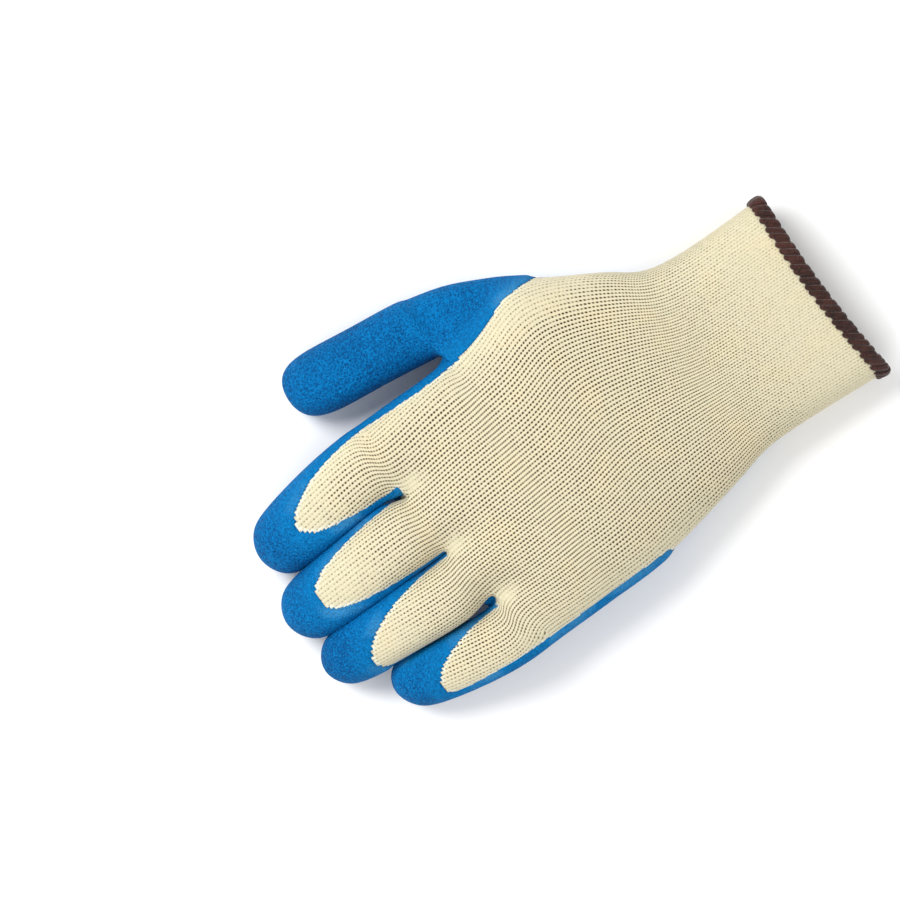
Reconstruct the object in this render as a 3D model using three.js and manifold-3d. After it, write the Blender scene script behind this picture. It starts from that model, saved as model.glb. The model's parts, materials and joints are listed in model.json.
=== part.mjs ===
// A seamless knitted work glove for the left hand, dipped in latex on the palm, thumb and fingertips.
// It lies palm down. Millimetres. While it is built, x runs to the thumb side from the middle of the cuff,
// y from the cuff's edge to the fingertips and z up out of the back of the hand, from the surface it lies on.
import * as THREE from 'three';
import { mergeVertices } from 'three/addons/utils/BufferGeometryUtils.js';
import Module from 'manifold-3d';

// Lengths along the hand.
const CUFF_LENGTH = 47.5;
const HEEL_LENGTH = 86;
const KNUCKLE_LENGTH = 44.5;

// Widths and thicknesses of the knit.
const CUFF_WIDTH = 84.5;
const CUFF_THICKNESS = 26;
const WRIST_WIDTH = 82.5;
const WRIST_THICKNESS = 30;
const PALM_WIDTH = 111;
const PALM_THICKNESS = 41;

// How far the middles of the cuff, the wrist and the palm lie to the thumb side.
const CUFF_SHIFT = 1.2;
const WRIST_SHIFT = 3.7;
const PALM_SHIFT = 6.4;

// The thumb: its reach beyond the palm's side, and its own size.
const THUMB_REACH = 28.5;
const THUMB_LENGTH = 60;
const THUMB_WIDTH = 24.6;
const THUMB_THICKNESS = 22;
const THUMB_LEAN = 8.5;

// The web in the thumb's crotch: how far it is beyond the palm's side, and how high in the palm's thickness.
const WEB_REACH = 4.4;
const WEB_HEIGHT = 0.4;

// The fingers' own sizes.
const LITTLE_LENGTH = 56;
const LITTLE_WIDTH = 23.4;
const LITTLE_THICKNESS = 19.5;
const RING_LENGTH = 65.5;
const RING_WIDTH = 24;
const RING_THICKNESS = 21;
const MIDDLE_LENGTH = 67.5;
const MIDDLE_WIDTH = 26.4;
const MIDDLE_THICKNESS = 22;
const INDEX_LENGTH = 62.5;
const INDEX_WIDTH = 28;
const INDEX_THICKNESS = 22;

// How far the back of each knuckle is below the hand's top, and each finger's root behind the middle one's.
const LITTLE_DROP = 5.5;
const LITTLE_BACK = 8.5;
const RING_DROP = 1.5;
const RING_BACK = 1.5;
const INDEX_DROP = 1;
const INDEX_BACK = 1.5;

// The fingers, from the little one to the index. taper narrows a finger towards its tip.
const FINGERS = [
  {
    length: LITTLE_LENGTH,
    width: LITTLE_WIDTH,
    thickness: LITTLE_THICKNESS,
    drop: LITTLE_DROP,
    back: LITTLE_BACK,
    taper: 0.14,
  },
  {
    length: RING_LENGTH,
    width: RING_WIDTH,
    thickness: RING_THICKNESS,
    drop: RING_DROP,
    back: RING_BACK,
    taper: 0.03,
  },
  {
    length: MIDDLE_LENGTH,
    width: MIDDLE_WIDTH,
    thickness: MIDDLE_THICKNESS,
    drop: 0,
    back: 0,
    taper: 0,
  },
  {
    length: INDEX_LENGTH,
    width: INDEX_WIDTH,
    thickness: INDEX_THICKNESS,
    drop: INDEX_DROP,
    back: INDEX_BACK,
    taper: 0.03,
  },
];

// The tongue of bare knit along the back of each finger, from the little one to the index, as shares of the
// finger's own length and width. lean turns its tip to the little finger's side, and round blunts the tip.
const TONGUES = [
  { length: 0.67, half: 0.47, lean: 0.1, round: 0.7 },
  { length: 0.71, half: 0.49, lean: 0.24, round: 0.8 },
  { length: 0.77, half: 0.49, lean: -0.02, round: 0.75 },
  { length: 0.7, half: 0.43, lean: 0, round: 1 },
];
const KNUCKLE_HEIGHT = 38;
const FINGER_SPACING = 0.7;
const CROTCH_WIDTH = 3.4;
const CROTCH_DIP = 5;
const LITTLE_SIDE_BACK = 4;

// Materials: the knit's wall, the latex and the hem, and the space kept between them.
const KNIT_WALL = 1.6;
const COAT_WALL = 1;
const CLEARANCE = 0.3;
const HEM_HEIGHT = 6;
const HEM_WALL = 1.2;
const HEM_SIDES = 1;

// Where the coat ends on the palm, from the cuff's edge, and how far its edge rises across the palm.
const COAT_START = 37;
const COAT_RISE = 6;

// How far the coat's outer side is from the knit. The knit lies that high, so that the coat's underside is
// flat.
const COAT_OUTSIDE = CLEARANCE + COAT_WALL;
const REST = COAT_OUTSIDE;

// Seen from the side, the height of the coat's edge along the hand, as shares of the wrist's and the palm's
// thickness, and then its height on the fingers, as a share of the little finger's thickness.
const COAT_LEVELS = [
  { at: 0, wrist: 0.24, palm: 0 },
  { at: 1, wrist: 0.24, palm: 0 },
  { at: 1.5, wrist: 0, palm: 0.24 },
  { at: 1.75, wrist: 0, palm: 0.45 },
  { at: 2, wrist: 0, palm: 0.5 },
];
const FINGER_LEVEL = 0.4;

// Seen from above, the thumb's side of the bare knit, as shares of the thumb's reach beyond the palm's side.
const BARE_THUMB_SIDE = [
  { at: 1.3, out: 0.3 },
  { at: 1.42, out: 0.31 },
  { at: 1.55, out: 0.3 },
  { at: 1.65, out: 0.27 },
  { at: 1.75, out: 0.16 },
  { at: 1.85, out: 0.05 },
  { at: 2, out: -0.05 },
  { at: 2.4, out: -0.08 },
];
const BARE_THUMB_END = 1.25;

// On the little finger's side the knit is bare all the way up to one mark, and from the next one the coat
// comes round the side by a little.
const BARE_LITTLE_END = 1.55;
const COAT_LITTLE_START = 1.7;
const COAT_LITTLE_WRAP = 0.5;

// Sections of the hand from the cuff to the thumb's crotch. at counts 0 at the cuff's edge, 1 at the wrist
// and 2 at the thumb's crotch. cuff, wrist and palm say how much of each size the section takes. bulge is the
// outer side of the thumb's root and fold the edge of the hand's back there, as shares of the thumb's reach.
// crown is where the back's curve would end. thumb is how far the side has become the thumb's own section.
// sink is how far the underside lies below the resting surface's level, as a share of the palm's thickness.
const HAND = [
  { at: 0, cuff: 1, wrist: 0, palm: 0, bulge: 0, fold: -0.12, crown: 0, thumb: 0, sink: -0.005 },
  { at: 1, cuff: 0, wrist: 1, palm: 0, bulge: 0, fold: -0.13, crown: 0, thumb: 0, sink: -0.02 },
  { at: 1.21, cuff: 0, wrist: 0.8, palm: 0.2, bulge: 0.2, fold: 0.06, crown: 0.2, thumb: 0.35, sink: 0.01 },
  { at: 1.42, cuff: 0, wrist: 0.45, palm: 0.55, bulge: 0.4, fold: 0.27, crown: 0.4, thumb: 0.65, sink: 0.04 },
  { at: 1.63, cuff: 0, wrist: 0.15, palm: 0.85, bulge: 0.65, fold: 0.3, crown: 0.6, thumb: 0.8, sink: 0.05 },
  { at: 1.82, cuff: 0, wrist: 0, palm: 1, bulge: 0.8, fold: 0.06, crown: 0.25, thumb: 0.95, sink: 0.05 },
  { at: 2, cuff: 0, wrist: 0, palm: 1, bulge: 1, fold: -0.04, crown: 0.04, thumb: 1, sink: 0.03 },
];

// Sections between the thumb's crotch, 0, and the fingers' crotches, 1. lift raises the underside.
const KNUCKLES = [
  { at: 0.16, lift: 0.1 },
  { at: 0.55, lift: 0.35 },
  { at: 1, lift: 1 },
];

// Sections of a finger from its crotch, 0, to its tip, 1: its width and thickness as shares of the finger's,
// how far it has curled down from the knuckle to the tip, and how much of the slot is left beside it.
const FINGER_SECTIONS = [
  { at: 0.08, width: 1, thickness: 1.02, curl: 0.02, slot: 1 },
  { at: 0.42, width: 0.98, thickness: 1, curl: 0.25, slot: 0 },
  { at: 0.78, width: 0.91, thickness: 0.95, curl: 0.72, slot: 0 },
  { at: 0.94, width: 0.62, thickness: 0.72, curl: 0.95, slot: 0 },
];
const THUMB_SECTIONS = [
  { at: 0.1, width: 1, thickness: 1, lean: 0.34, lift: 0.06 },
  { at: 0.45, width: 0.98, thickness: 0.98, lean: 0.62, lift: 0.02 },
  { at: 0.76, width: 0.98, thickness: 0.92, lean: 0.9, lift: 0 },
  { at: 0.94, width: 0.72, thickness: 0.7, lean: 1.04, lift: 0 },
];

// A finger's section: how far out its slanting corners are, and how high its tip lies in its thickness.
const ROUND_SIDE = 0.72;
const ROUND_TOP = 0.76;
const TIP_HEIGHT = 0.42;

// The hand's section: how square it is, how round its thumb side is, the angles where that side starts and
// ends, how far in the underside starts there, and how far in the back starts at the little finger's side.
const HAND_SQUARENESS = 2.4;
const SIDE_ROUND = 0.78;
const THUMB_TOP_DEG = 98;
const SIDE_END_DEG = -125;
const UNDERSIDE_TURN = 0.6;
const BACK_INSET = 0.05;

// How far the middle of the cuff's edge stands above its ends.
const CUFF_BOW = 1.8;

// The net: its steps over the back and round the thumb's side, the rounds that fit it to the given points,
// and the least share of a wall's thickness that a corner's faces move by.
const FINGER_COUNT = FINGERS.length;
const BACK_STEPS = 2 * FINGER_COUNT;
const THUMB_STEPS = 6;
const FIT_ROUNDS = 5;
const LEAST_SHARE = 0.3;
const TONGUE_STEPS = 9;

// How far the cutting shapes reach beyond the glove.
const BEYOND = 20;

const KNIT_FINISH = { color: 0xe8deba, roughness: 0.95 };
const LATEX_FINISH = { color: 0x0a6cb4, roughness: 0.5 };
const HEM_FINISH = { color: 0x41231c, roughness: 0.9 };

const lerp = THREE.MathUtils.lerp;
const clamp = THREE.MathUtils.clamp;
const radians = THREE.MathUtils.degToRad;
const point = (x, y, z) => new THREE.Vector3(x, y, z);
const range = (count) => Array.from({ length: count }, (_, i) => i);

// The value of a column of a table, between the rows on either side of a place.
function column(rows, at, name) {
  const next = rows.findIndex((row) => row.at >= at);
  if (next < 0) return rows[rows.length - 1][name];
  if (next === 0) return rows[0][name];
  const [a, b] = [rows[next - 1], rows[next]];
  return lerp(a[name], b[name], (at - a.at) / (b.at - a.at));
}

// The way along the hand to a mark: 0 is the cuff's edge, 1 the wrist, 2 the thumb's crotch, 3 the fingers'.
function along(mark) {
  const lengths = [CUFF_LENGTH, HEEL_LENGTH, KNUCKLE_LENGTH];
  return lengths.reduce((sum, length, i) => sum + length * clamp(mark - i, 0, 1), 0);
}

const THUMB_MARK = 2;
const CROTCH_MARK = 3;
const THUMB_CROTCH_Y = along(THUMB_MARK);
const CROTCH_Y = along(CROTCH_MARK);
const CLEAR_SPACING = FINGER_SPACING + 2 * COAT_OUTSIDE;
const PALM_LEFT = PALM_SHIFT - PALM_WIDTH / 2;
const PALM_RIGHT = PALM_SHIFT + PALM_WIDTH / 2;

// A finger's place along its own length, at a height y of the glove.
function fingerShare(f, y) {
  return (y - (CROTCH_Y - FINGERS[f].back)) / FINGERS[f].length;
}

function fingerWidth(f, y) {
  const last = FINGER_SECTIONS[FINGER_SECTIONS.length - 2].at;
  const share = clamp(fingerShare(f, y), 0, last);
  return FINGERS[f].width * column(FINGER_SECTIONS, share, 'width') * (1 - FINGERS[f].taper * share);
}

// The fingers lie side by side. The space between the ring and the middle finger stays where it is, and
// the others are set against their neighbours, a spacing apart and wider near the crotches.
const SPREAD = FINGERS.reduce((sum, finger) => sum + finger.width, (FINGER_COUNT - 1) * CLEAR_SPACING);
const LEFT_FINGERS = FINGERS[0].width + FINGERS[1].width + 1.5 * CLEAR_SPACING;
const MIDDLE_X = PALM_LEFT + (PALM_WIDTH - SPREAD) / 2 + LEFT_FINGERS;

function slotAt(y) {
  const share = Math.min(fingerShare(1, y), fingerShare(2, y));
  return CROTCH_WIDTH * column(FINGER_SECTIONS, share, 'slot');
}

function fingerCentre(f, y) {
  const half = CLEAR_SPACING / 2;
  if (f === 1) return MIDDLE_X - half - fingerWidth(1, y) / 2;
  if (f === 2) return MIDDLE_X + half + fingerWidth(2, y) / 2;
  const neighbour = f === 0 ? 1 : 2;
  const away = (fingerWidth(neighbour, y) + fingerWidth(f, y)) / 2 + CLEAR_SPACING;
  return fingerCentre(neighbour, y) + (f === 0 ? -away : away);
}

function fingerTop(f) {
  return KNUCKLE_HEIGHT - FINGERS[f].drop;
}

// Half of a square-shouldered round section, from -1 to 1 across it.
function shoulder(across) {
  const share = Math.min(Math.abs(across), 1);
  return (1 - share ** HAND_SQUARENESS) ** (1 / HAND_SQUARENESS);
}

// A coarse net of four-sided faces, which is smoothed afterwards.
class Cage {
  points = [];
  quads = [];

  add(x, y, z) {
    this.points.push(point(x, y, z));
    return this.points.length - 1;
  }

  // Faces between two closed rings with as many corners each.
  band(lower, upper) {
    lower.forEach((corner, i) => {
      const next = (i + 1) % lower.length;
      this.quads.push([corner, lower[next], upper[next], upper[i]]);
    });
  }

  // Four faces that close a ring of eight corners at a tip.
  close(ring, tip) {
    range(4).forEach((i) => {
      this.quads.push([ring[(2 * i + 7) % 8], ring[2 * i], ring[2 * i + 1], tip]);
    });
  }
}

// One section of the hand, as corners across its back, round its thumb side, under the palm and up
// the little finger's side.
function handSection(cage, row) {
  const mix = (cuff, wrist, palm) => row.cuff * cuff + row.wrist * wrist + row.palm * palm;
  const half = mix(CUFF_WIDTH, WRIST_WIDTH, PALM_WIDTH) / 2;
  const middle = mix(CUFF_SHIFT, WRIST_SHIFT, PALM_SHIFT);
  const thick = mix(CUFF_THICKNESS, WRIST_THICKNESS, PALM_THICKNESS);
  const [left, right] = [middle - half, middle + half];
  const bottom = REST - row.sink * PALM_THICKNESS;
  const centre = bottom + thick / 2;
  const y = along(row.at);
  const bow = CUFF_BOW * (1 - row.palm);
  const height = (x) => y - bow * ((x - middle) / half) ** 2;

  const crownEnd = right + row.crown * THUMB_REACH;
  const crownMiddle = (left + crownEnd) / 2;
  const crown = (x) => (thick / 2) * shoulder((x - crownMiddle) / (crownEnd - crownMiddle));

  const shares = backShares(row.at);
  const backStart = lerp(left, crownEnd, BACK_INSET);
  const fold = right + row.fold * THUMB_REACH;
  const outer = right + row.bulge * THUMB_REACH;
  const sideHeight = lerp(thick * SIDE_ROUND, THUMB_THICKNESS, row.thumb) / 2;
  const sideHalf = lerp(sideHeight, THUMB_WIDTH / 2, row.thumb);
  const sideX = outer - sideHalf;
  const foldAngle = Math.acos(clamp((fold - sideX) / sideHalf, -1, 1));
  const lastAngle = radians(SIDE_END_DEG);
  const firstAngle = Math.min(lerp(foldAngle, lastAngle, 1 / THUMB_STEPS), radians(THUMB_TOP_DEG));

  const back = shares.map((share) => {
    const x = lerp(backStart, fold, share);
    return cage.add(x, height(x), centre + crown(x));
  });
  const side = range(THUMB_STEPS - 1).map((i) => {
    const angle = lerp(firstAngle, lastAngle, i / (THUMB_STEPS - 1));
    const x = sideX + sideHalf * Math.cos(angle);
    const asHand = centre + Math.sign(Math.sin(angle)) * crown(x);
    const asThumb = bottom + sideHeight * (1 + Math.sin(angle));
    return cage.add(x, height(x), lerp(asHand, asThumb, row.thumb));
  });
  const under = shares.map((share) => {
    const x = lerp(backStart, Math.min(fold, sideX - UNDERSIDE_TURN * sideHalf), share);
    return cage.add(x, height(x), centre - crown(x));
  });
  const little = cage.add(left, height(left), centre);
  return { back, side, under, little };
}

// Where the lines of knit divide the back, at a mark along the hand: evenly at the cuff, and by the fingers'
// own widths at the crotches.
function backShares(mark) {
  const from = fingerCentre(0, CROTCH_Y) - FINGERS[0].width / 2;
  const to = fingerCentre(FINGER_COUNT - 1, CROTCH_Y) + FINGERS[FINGER_COUNT - 1].width / 2;
  return range(BACK_STEPS + 1).map((i) => {
    const finger = Math.min(Math.floor(i / 2), FINGER_COUNT - 1);
    const centre = fingerCentre(finger, CROTCH_Y);
    const before = centre - (FINGERS[finger].width + CLEAR_SPACING) / 2;
    const after = centre + (FINGERS[finger].width + CLEAR_SPACING) / 2;
    const x = [before, centre, after][i - 2 * finger];
    const own = clamp((x - from) / (to - from), 0, 1);
    return lerp(i / BACK_STEPS, own, mark / CROTCH_MARK);
  });
}

// The knuckles, above the thumb: a section that ends at the fingers' crotches.
function knuckleSection(cage, row) {
  const shares = backShares(lerp(THUMB_MARK, CROTCH_MARK, row.at));
  const [left, right] = [PALM_LEFT, PALM_RIGHT];
  const start = HAND[HAND.length - 1];
  const backStart = lerp(left, right, BACK_INSET);
  const backEnd = lerp(right + start.fold * THUMB_REACH, lerp(right, left, BACK_INSET), row.at);
  const crotch = row.at === 1;

  const place = (i, under) => {
    const [a, b] = [Math.floor((i - 1) / 2), Math.floor(i / 2)].map((f) => clamp(f, 0, FINGER_COUNT - 1));
    const outerSide = i === 0 || i === BACK_STEPS;
    const x = lerp(backStart, backEnd, shares[i]);
    const behind = (FINGERS[a].back + FINGERS[b].back) / 2 + (i === 0 ? LITTLE_SIDE_BACK : 0);
    const y = lerp(THUMB_CROTCH_Y, CROTCH_Y - behind, row.at);
    const top = (fingerTop(a) + fingerTop(b)) / 2;
    const thick = (FINGERS[a].thickness + FINGERS[b].thickness) / 2;
    const palmCentre = REST + PALM_THICKNESS * (0.5 - start.sink);
    const centre = lerp(palmCentre, top - thick / 2, row.at);
    const half = lerp(PALM_THICKNESS / 2, thick / 2, under ? row.lift : row.at);
    const middle = (left + right) / 2;
    const round = lerp(shoulder((x - middle) / (right - middle)), outerSide ? ROUND_TOP : 1, row.at);
    const dip = crotch && i % 2 === 0 && !outerSide ? CROTCH_DIP : 0;
    const z = under ? centre - half * round + dip : centre + half * round - dip;
    return cage.add(x, y, z);
  };
  const back = range(BACK_STEPS + 1).map((i) => place(i, false));
  const under = range(BACK_STEPS + 1).map((i) => place(i, true));
  const middleOf = (a, b, x) => {
    const [p, q] = [cage.points[a], cage.points[b]];
    return cage.add(x, (p.y + q.y) / 2, (p.z + q.z) / 2);
  };
  const index = middleOf(back[BACK_STEPS], under[BACK_STEPS], right);
  const little = middleOf(back[0], under[0], left);
  return { back, under, index, little };
}

// Eight corners round a finger or the thumb, from its upper left one over the top.
function tubeSection(cage, centreX, y, centreZ, halfWidth, halfHeight) {
  const places = [
    [-ROUND_SIDE, ROUND_TOP], [0, 1], [ROUND_SIDE, ROUND_TOP], [1, 0],
    [ROUND_SIDE, -ROUND_TOP], [0, -1], [-ROUND_SIDE, -ROUND_TOP], [-1, 0],
  ];
  return places.map(([across, up]) => cage.add(centreX + across * halfWidth, y, centreZ + up * halfHeight));
}

// A finger. Each slot beside it takes half of its width from the finger's own.
function addFinger(cage, f, root) {
  const { length, width, thickness, back, taper } = FINGERS[f];
  const start = CROTCH_Y - back;
  const knuckle = fingerTop(f) - thickness / 2;
  const tipHeight = REST + thickness * TIP_HEIGHT;
  let ring = root;
  FINGER_SECTIONS.forEach((section) => {
    const y = start + section.at * length;
    const left = f === 0 ? 0 : slotAt(y) / 2;
    const right = f === FINGER_COUNT - 1 ? 0 : slotAt(y) / 2;
    const full = section.width * width * (1 - taper * section.at);
    const x = fingerCentre(f, y) + (left - right) / 2;
    const z = lerp(knuckle, tipHeight, section.curl);
    const next = tubeSection(cage, x, y, z, (full - left - right) / 2, (section.thickness * thickness) / 2);
    cage.band(ring, next);
    ring = next;
  });
  const tip = start + length;
  cage.close(ring, cage.add(fingerCentre(f, tip), tip, tipHeight));
}

function addThumb(cage, root) {
  const rootX = PALM_RIGHT + THUMB_REACH - THUMB_WIDTH / 2;
  let ring = root;
  THUMB_SECTIONS.forEach((section) => {
    const halfHeight = (section.thickness * THUMB_THICKNESS) / 2;
    const next = tubeSection(
      cage,
      rootX + section.lean * THUMB_LEAN,
      THUMB_CROTCH_Y + section.at * THUMB_LENGTH,
      REST + halfHeight + section.lift * THUMB_THICKNESS,
      (section.width * THUMB_WIDTH) / 2,
      halfHeight,
    );
    cage.band(ring, next);
    ring = next;
  });
  const tipHeight = REST + THUMB_THICKNESS * TIP_HEIGHT;
  cage.close(ring, cage.add(rootX + THUMB_LEAN, THUMB_CROTCH_Y + THUMB_LENGTH, tipHeight));
}

// The whole hand as a cage, open at the cuff.
function handCage() {
  const cage = new Cage();
  const ringOf = ({ back, side, under, little }) => [...back, ...side, ...[...under].reverse(), little];
  const sections = HAND.map((row) => handSection(cage, row));
  sections.slice(1).forEach((section, i) => cage.band(ringOf(sections[i]), ringOf(section)));

  const last = sections[sections.length - 1];
  const web = cage.add(PALM_RIGHT + WEB_REACH, THUMB_CROTCH_Y, REST + PALM_THICKNESS * WEB_HEIGHT);
  const corner = { back: last.back[BACK_STEPS], under: last.under[BACK_STEPS] };
  addThumb(cage, [corner.back, ...last.side, corner.under, web]);

  let lower = { back: last.back, under: last.under, index: web, little: last.little };
  const upperRing = ({ back, index, under, little }) => [...back, index, ...[...under].reverse(), little];
  KNUCKLES.forEach((row) => {
    const upper = knuckleSection(cage, row);
    cage.band(upperRing(lower), upperRing(upper));
    lower = upper;
  });

  const webs = range(FINGER_COUNT + 1).map((f) => {
    if (f === 0) return lower.little;
    if (f === FINGER_COUNT) return lower.index;
    const [p, q] = [cage.points[lower.back[2 * f]], cage.points[lower.under[2 * f]]];
    return cage.add(p.x, (p.y + q.y) / 2, (p.z + q.z) / 2);
  });
  range(FINGER_COUNT).forEach((f) => {
    const [a, b, c] = [2 * f, 2 * f + 1, 2 * f + 2];
    const { back, under } = lower;
    addFinger(cage, f, [back[a], back[b], back[c], webs[f + 1], under[c], under[b], under[a], webs[f]]);
  });
  return cage;
}

const mean = (points) => points.reduce((sum, p) => sum.add(p), point(0, 0, 0)).divideScalar(points.length);

// One step of Catmull-Clark smoothing: each face becomes four. The first points stay the cage's own.
function smoothed({ points, quads }) {
  const edges = new Map();
  const centres = quads.map((quad) => mean(quad.map((i) => points[i])));
  quads.forEach((quad, face) => {
    quad.forEach((a, i) => {
      const b = quad[(i + 1) % 4];
      const name = `${Math.min(a, b)} ${Math.max(a, b)}`;
      if (!edges.has(name)) edges.set(name, { ends: [a, b], faces: [] });
      edges.get(name).faces.push(face);
    });
  });

  const around = points.map(() => ({ faces: new Set(), middles: [], rim: [] }));
  const edgePoints = [];
  for (const edge of edges.values()) {
    const ends = edge.ends.map((i) => points[i]);
    const middle = mean(ends);
    const onRim = edge.faces.length === 1;
    edge.index = points.length + edgePoints.length;
    edgePoints.push(onRim ? middle : mean([...ends, ...edge.faces.map((face) => centres[face])]));
    edge.ends.forEach((i) => {
      around[i].middles.push(middle);
      edge.faces.forEach((face) => around[i].faces.add(face));
      if (onRim) around[i].rim.push(middle);
    });
  }

  const corners = points.map((p, i) => {
    const { faces, middles, rim } = around[i];
    if (rim.length) return mean([...rim, p, p]);
    const n = middles.length;
    const faceMean = mean([...faces].map((face) => centres[face]));
    return faceMean.addScaledVector(mean(middles), 2).addScaledVector(p, n - 3).divideScalar(n);
  });
  const firstCentre = points.length + edgePoints.length;
  const edgeOf = (a, b) => edges.get(`${Math.min(a, b)} ${Math.max(a, b)}`).index;
  const finer = quads.flatMap((quad, face) => quad.map((a, i) => {
    const [before, after] = [quad[(i + 3) % 4], quad[(i + 1) % 4]];
    return [a, edgeOf(a, after), firstCentre + face, edgeOf(before, a)];
  }));
  return { points: [...corners, ...edgePoints, ...centres], quads: finer };
}

// Moves the cage out until the smoothed net passes through the points that were given.
function fitted(cage) {
  const aims = cage.points.map((p) => p.clone());
  range(FIT_ROUNDS).forEach(() => {
    const reached = smoothed(cage).points;
    cage.points.forEach((p, i) => p.add(aims[i]).sub(reached[i]));
  });
  return cage;
}

// The way out at each corner, made longer in a narrow crotch so that the faces there, and not only the
// corner, move by a whole step.
function waysOut({ points, quads }) {
  const turns = points.map(() => []);
  quads.forEach(([a, b, c, d]) => {
    const first = points[c].clone().sub(points[a]);
    const second = points[d].clone().sub(points[b]);
    const turn = first.cross(second);
    [a, b, c, d].forEach((i) => turns[i].push(turn));
  });
  return turns.map((around) => {
    const out = mean(around).normalize();
    const share = around.reduce((sum, turn) => sum + out.dot(turn) / turn.length(), 0) / around.length;
    return out.divideScalar(Math.max(share, LEAST_SHARE));
  });
}

const hand = smoothed(fitted(handCage()));
const handWaysOut = waysOut(hand);

// The corners of the open edge at the cuff, in the order that its faces run.
function rimOf({ quads }) {
  const sides = new Map();
  quads.forEach((quad) => quad.forEach((a, i) => {
    const b = quad[(i + 1) % 4];
    sides.set(`${a} ${b}`, [a, b]);
  }));
  const open = [...sides.values()].filter(([a, b]) => !sides.has(`${b} ${a}`));
  const next = new Map(open);
  const rim = [open[0][0]];
  while (next.get(rim[rim.length - 1]) !== rim[0]) rim.push(next.get(rim[rim.length - 1]));
  return rim;
}

const cuffRim = rimOf(hand);

// The corner above a corner of the cuff's edge, one row of faces up the glove.
function aboveRim(corner) {
  const quad = hand.quads.find((q) => q.includes(corner) && cuffRim.includes(q[(q.indexOf(corner) + 1) % 4]));
  return quad[(quad.indexOf(corner) + 3) % 4];
}

// The hand's surface moved out by a distance, or in by a negative one, and kept above the resting surface.
function skin(out) {
  return hand.points.map((p, i) => {
    const moved = p.clone().addScaledVector(handWaysOut[i], out);
    moved.z = Math.max(moved.z, REST - out);
    return moved;
  });
}

const triangles = (quads) => quads.flatMap(([a, b, c, d]) => [[a, b, c], [a, c, d]]);

function geometryOf(points, faces) {
  const geometry = new THREE.BufferGeometry();
  geometry.setAttribute('position', new THREE.Float32BufferAttribute(points.flatMap((p) => p.toArray()), 3));
  geometry.setIndex(faces.flat());
  return geometry;
}

// A wall between two distances from the hand's surface, closed round the cuff's edge.
function wallGeometry(outside, inside) {
  const count = hand.points.length;
  const outer = triangles(hand.quads);
  const inner = outer.map(([a, b, c]) => [a + count, c + count, b + count]);
  const edge = cuffRim.map((a, i) => {
    const b = cuffRim[(i + 1) % cuffRim.length];
    return [b, a, a + count, b + count];
  });
  return geometryOf([...skin(outside), ...skin(inside)], [...outer, ...inner, ...triangles(edge)]);
}

const wasm = await Module();
wasm.setup();

// A closed geometry as a solid that can be cut, and back again.
function solidOf(geometry) {
  const bare = geometry.clone();
  bare.deleteAttribute('normal');
  bare.deleteAttribute('uv');
  const merged = mergeVertices(bare);
  const mesh = new wasm.Mesh({
    numProp: 3,
    vertProperties: new Float32Array(merged.attributes.position.array),
    triVerts: new Uint32Array(merged.index.array),
  });
  return new wasm.Manifold(mesh);
}

function geometryFrom(solid) {
  const mesh = solid.getMesh();
  const geometry = new THREE.BufferGeometry();
  geometry.setAttribute('position', new THREE.BufferAttribute(mesh.vertProperties, mesh.numProp));
  geometry.setIndex(new THREE.BufferAttribute(mesh.triVerts, 1));
  return geometry;
}

// The edge of a finger's tongue of bare knit, seen from above. It ends in a round point.
function tonguePoints(f) {
  const { length, width, back } = FINGERS[f];
  const tongue = TONGUES[f];
  const side = (sign, share) => {
    const rise = Math.sin((share * Math.PI) / 2);
    const y = CROTCH_Y - back + length * tongue.length * rise;
    const reach = sign * tongue.half * Math.cos((share * Math.PI) / 2) ** tongue.round;
    return new THREE.Vector2(fingerCentre(f, y) + width * (reach - tongue.lean * rise ** 3), y);
  };
  const shares = range(TONGUE_STEPS).map((i) => i / TONGUE_STEPS);
  const rising = shares.map((share) => side(-1, share));
  const falling = shares.map((share) => side(1, share)).reverse();
  return [...rising, side(1, 1), ...falling];
}

// The edge of all the bare knit on the back, seen from above. Beyond the hand's sides it only keeps clear.
function bareOutline() {
  const [left, right] = [PALM_LEFT - BEYOND, PALM_RIGHT + THUMB_REACH + BEYOND];
  const thumbSide = BARE_THUMB_SIDE.map(({ at, out }) => {
    return new THREE.Vector2(PALM_RIGHT + out * THUMB_REACH, along(at));
  });
  return new THREE.Shape([
    new THREE.Vector2(left, -BEYOND),
    new THREE.Vector2(left, along(BARE_LITTLE_END)),
    new THREE.Vector2(PALM_LEFT + COAT_LITTLE_WRAP, along(COAT_LITTLE_START)),
    ...range(FINGER_COUNT).flatMap(tonguePoints),
    ...thumbSide.reverse(),
    new THREE.Vector2(right, along(BARE_THUMB_END)),
    new THREE.Vector2(right, -BEYOND),
  ]);
}

// All that is higher than the coat's edge along the sides.
function aboveMiddle() {
  const high = PALM_THICKNESS + BEYOND;
  const tip = CROTCH_Y + Math.max(...FINGERS.map((finger) => finger.length)) + BEYOND;
  const fingerLevel = FINGER_LEVEL * FINGERS[0].thickness;
  const levels = COAT_LEVELS.map(({ at, wrist, palm }) => {
    return [along(at), REST + wrist * WRIST_THICKNESS + palm * PALM_THICKNESS];
  });
  const profile = [
    [-BEYOND, high],
    [-BEYOND, levels[0][1]],
    ...levels,
    [CROTCH_Y, fingerTop(0) - fingerLevel],
    [tip, REST + fingerLevel],
    [tip, high],
  ];
  const shape = new THREE.Shape(profile.map(([y, z]) => new THREE.Vector2(y, z)));
  const width = PALM_WIDTH + 2 * (THUMB_REACH + BEYOND);
  const geometry = new THREE.ExtrudeGeometry(shape, { depth: width, bevelEnabled: false });
  const turn = new THREE.Matrix4().makeBasis(point(0, 1, 0), point(0, 0, 1), point(1, 0, 0));
  geometry.applyMatrix4(turn);
  geometry.translate(PALM_SHIFT - width / 2, 0, 0);
  return geometry;
}

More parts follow.
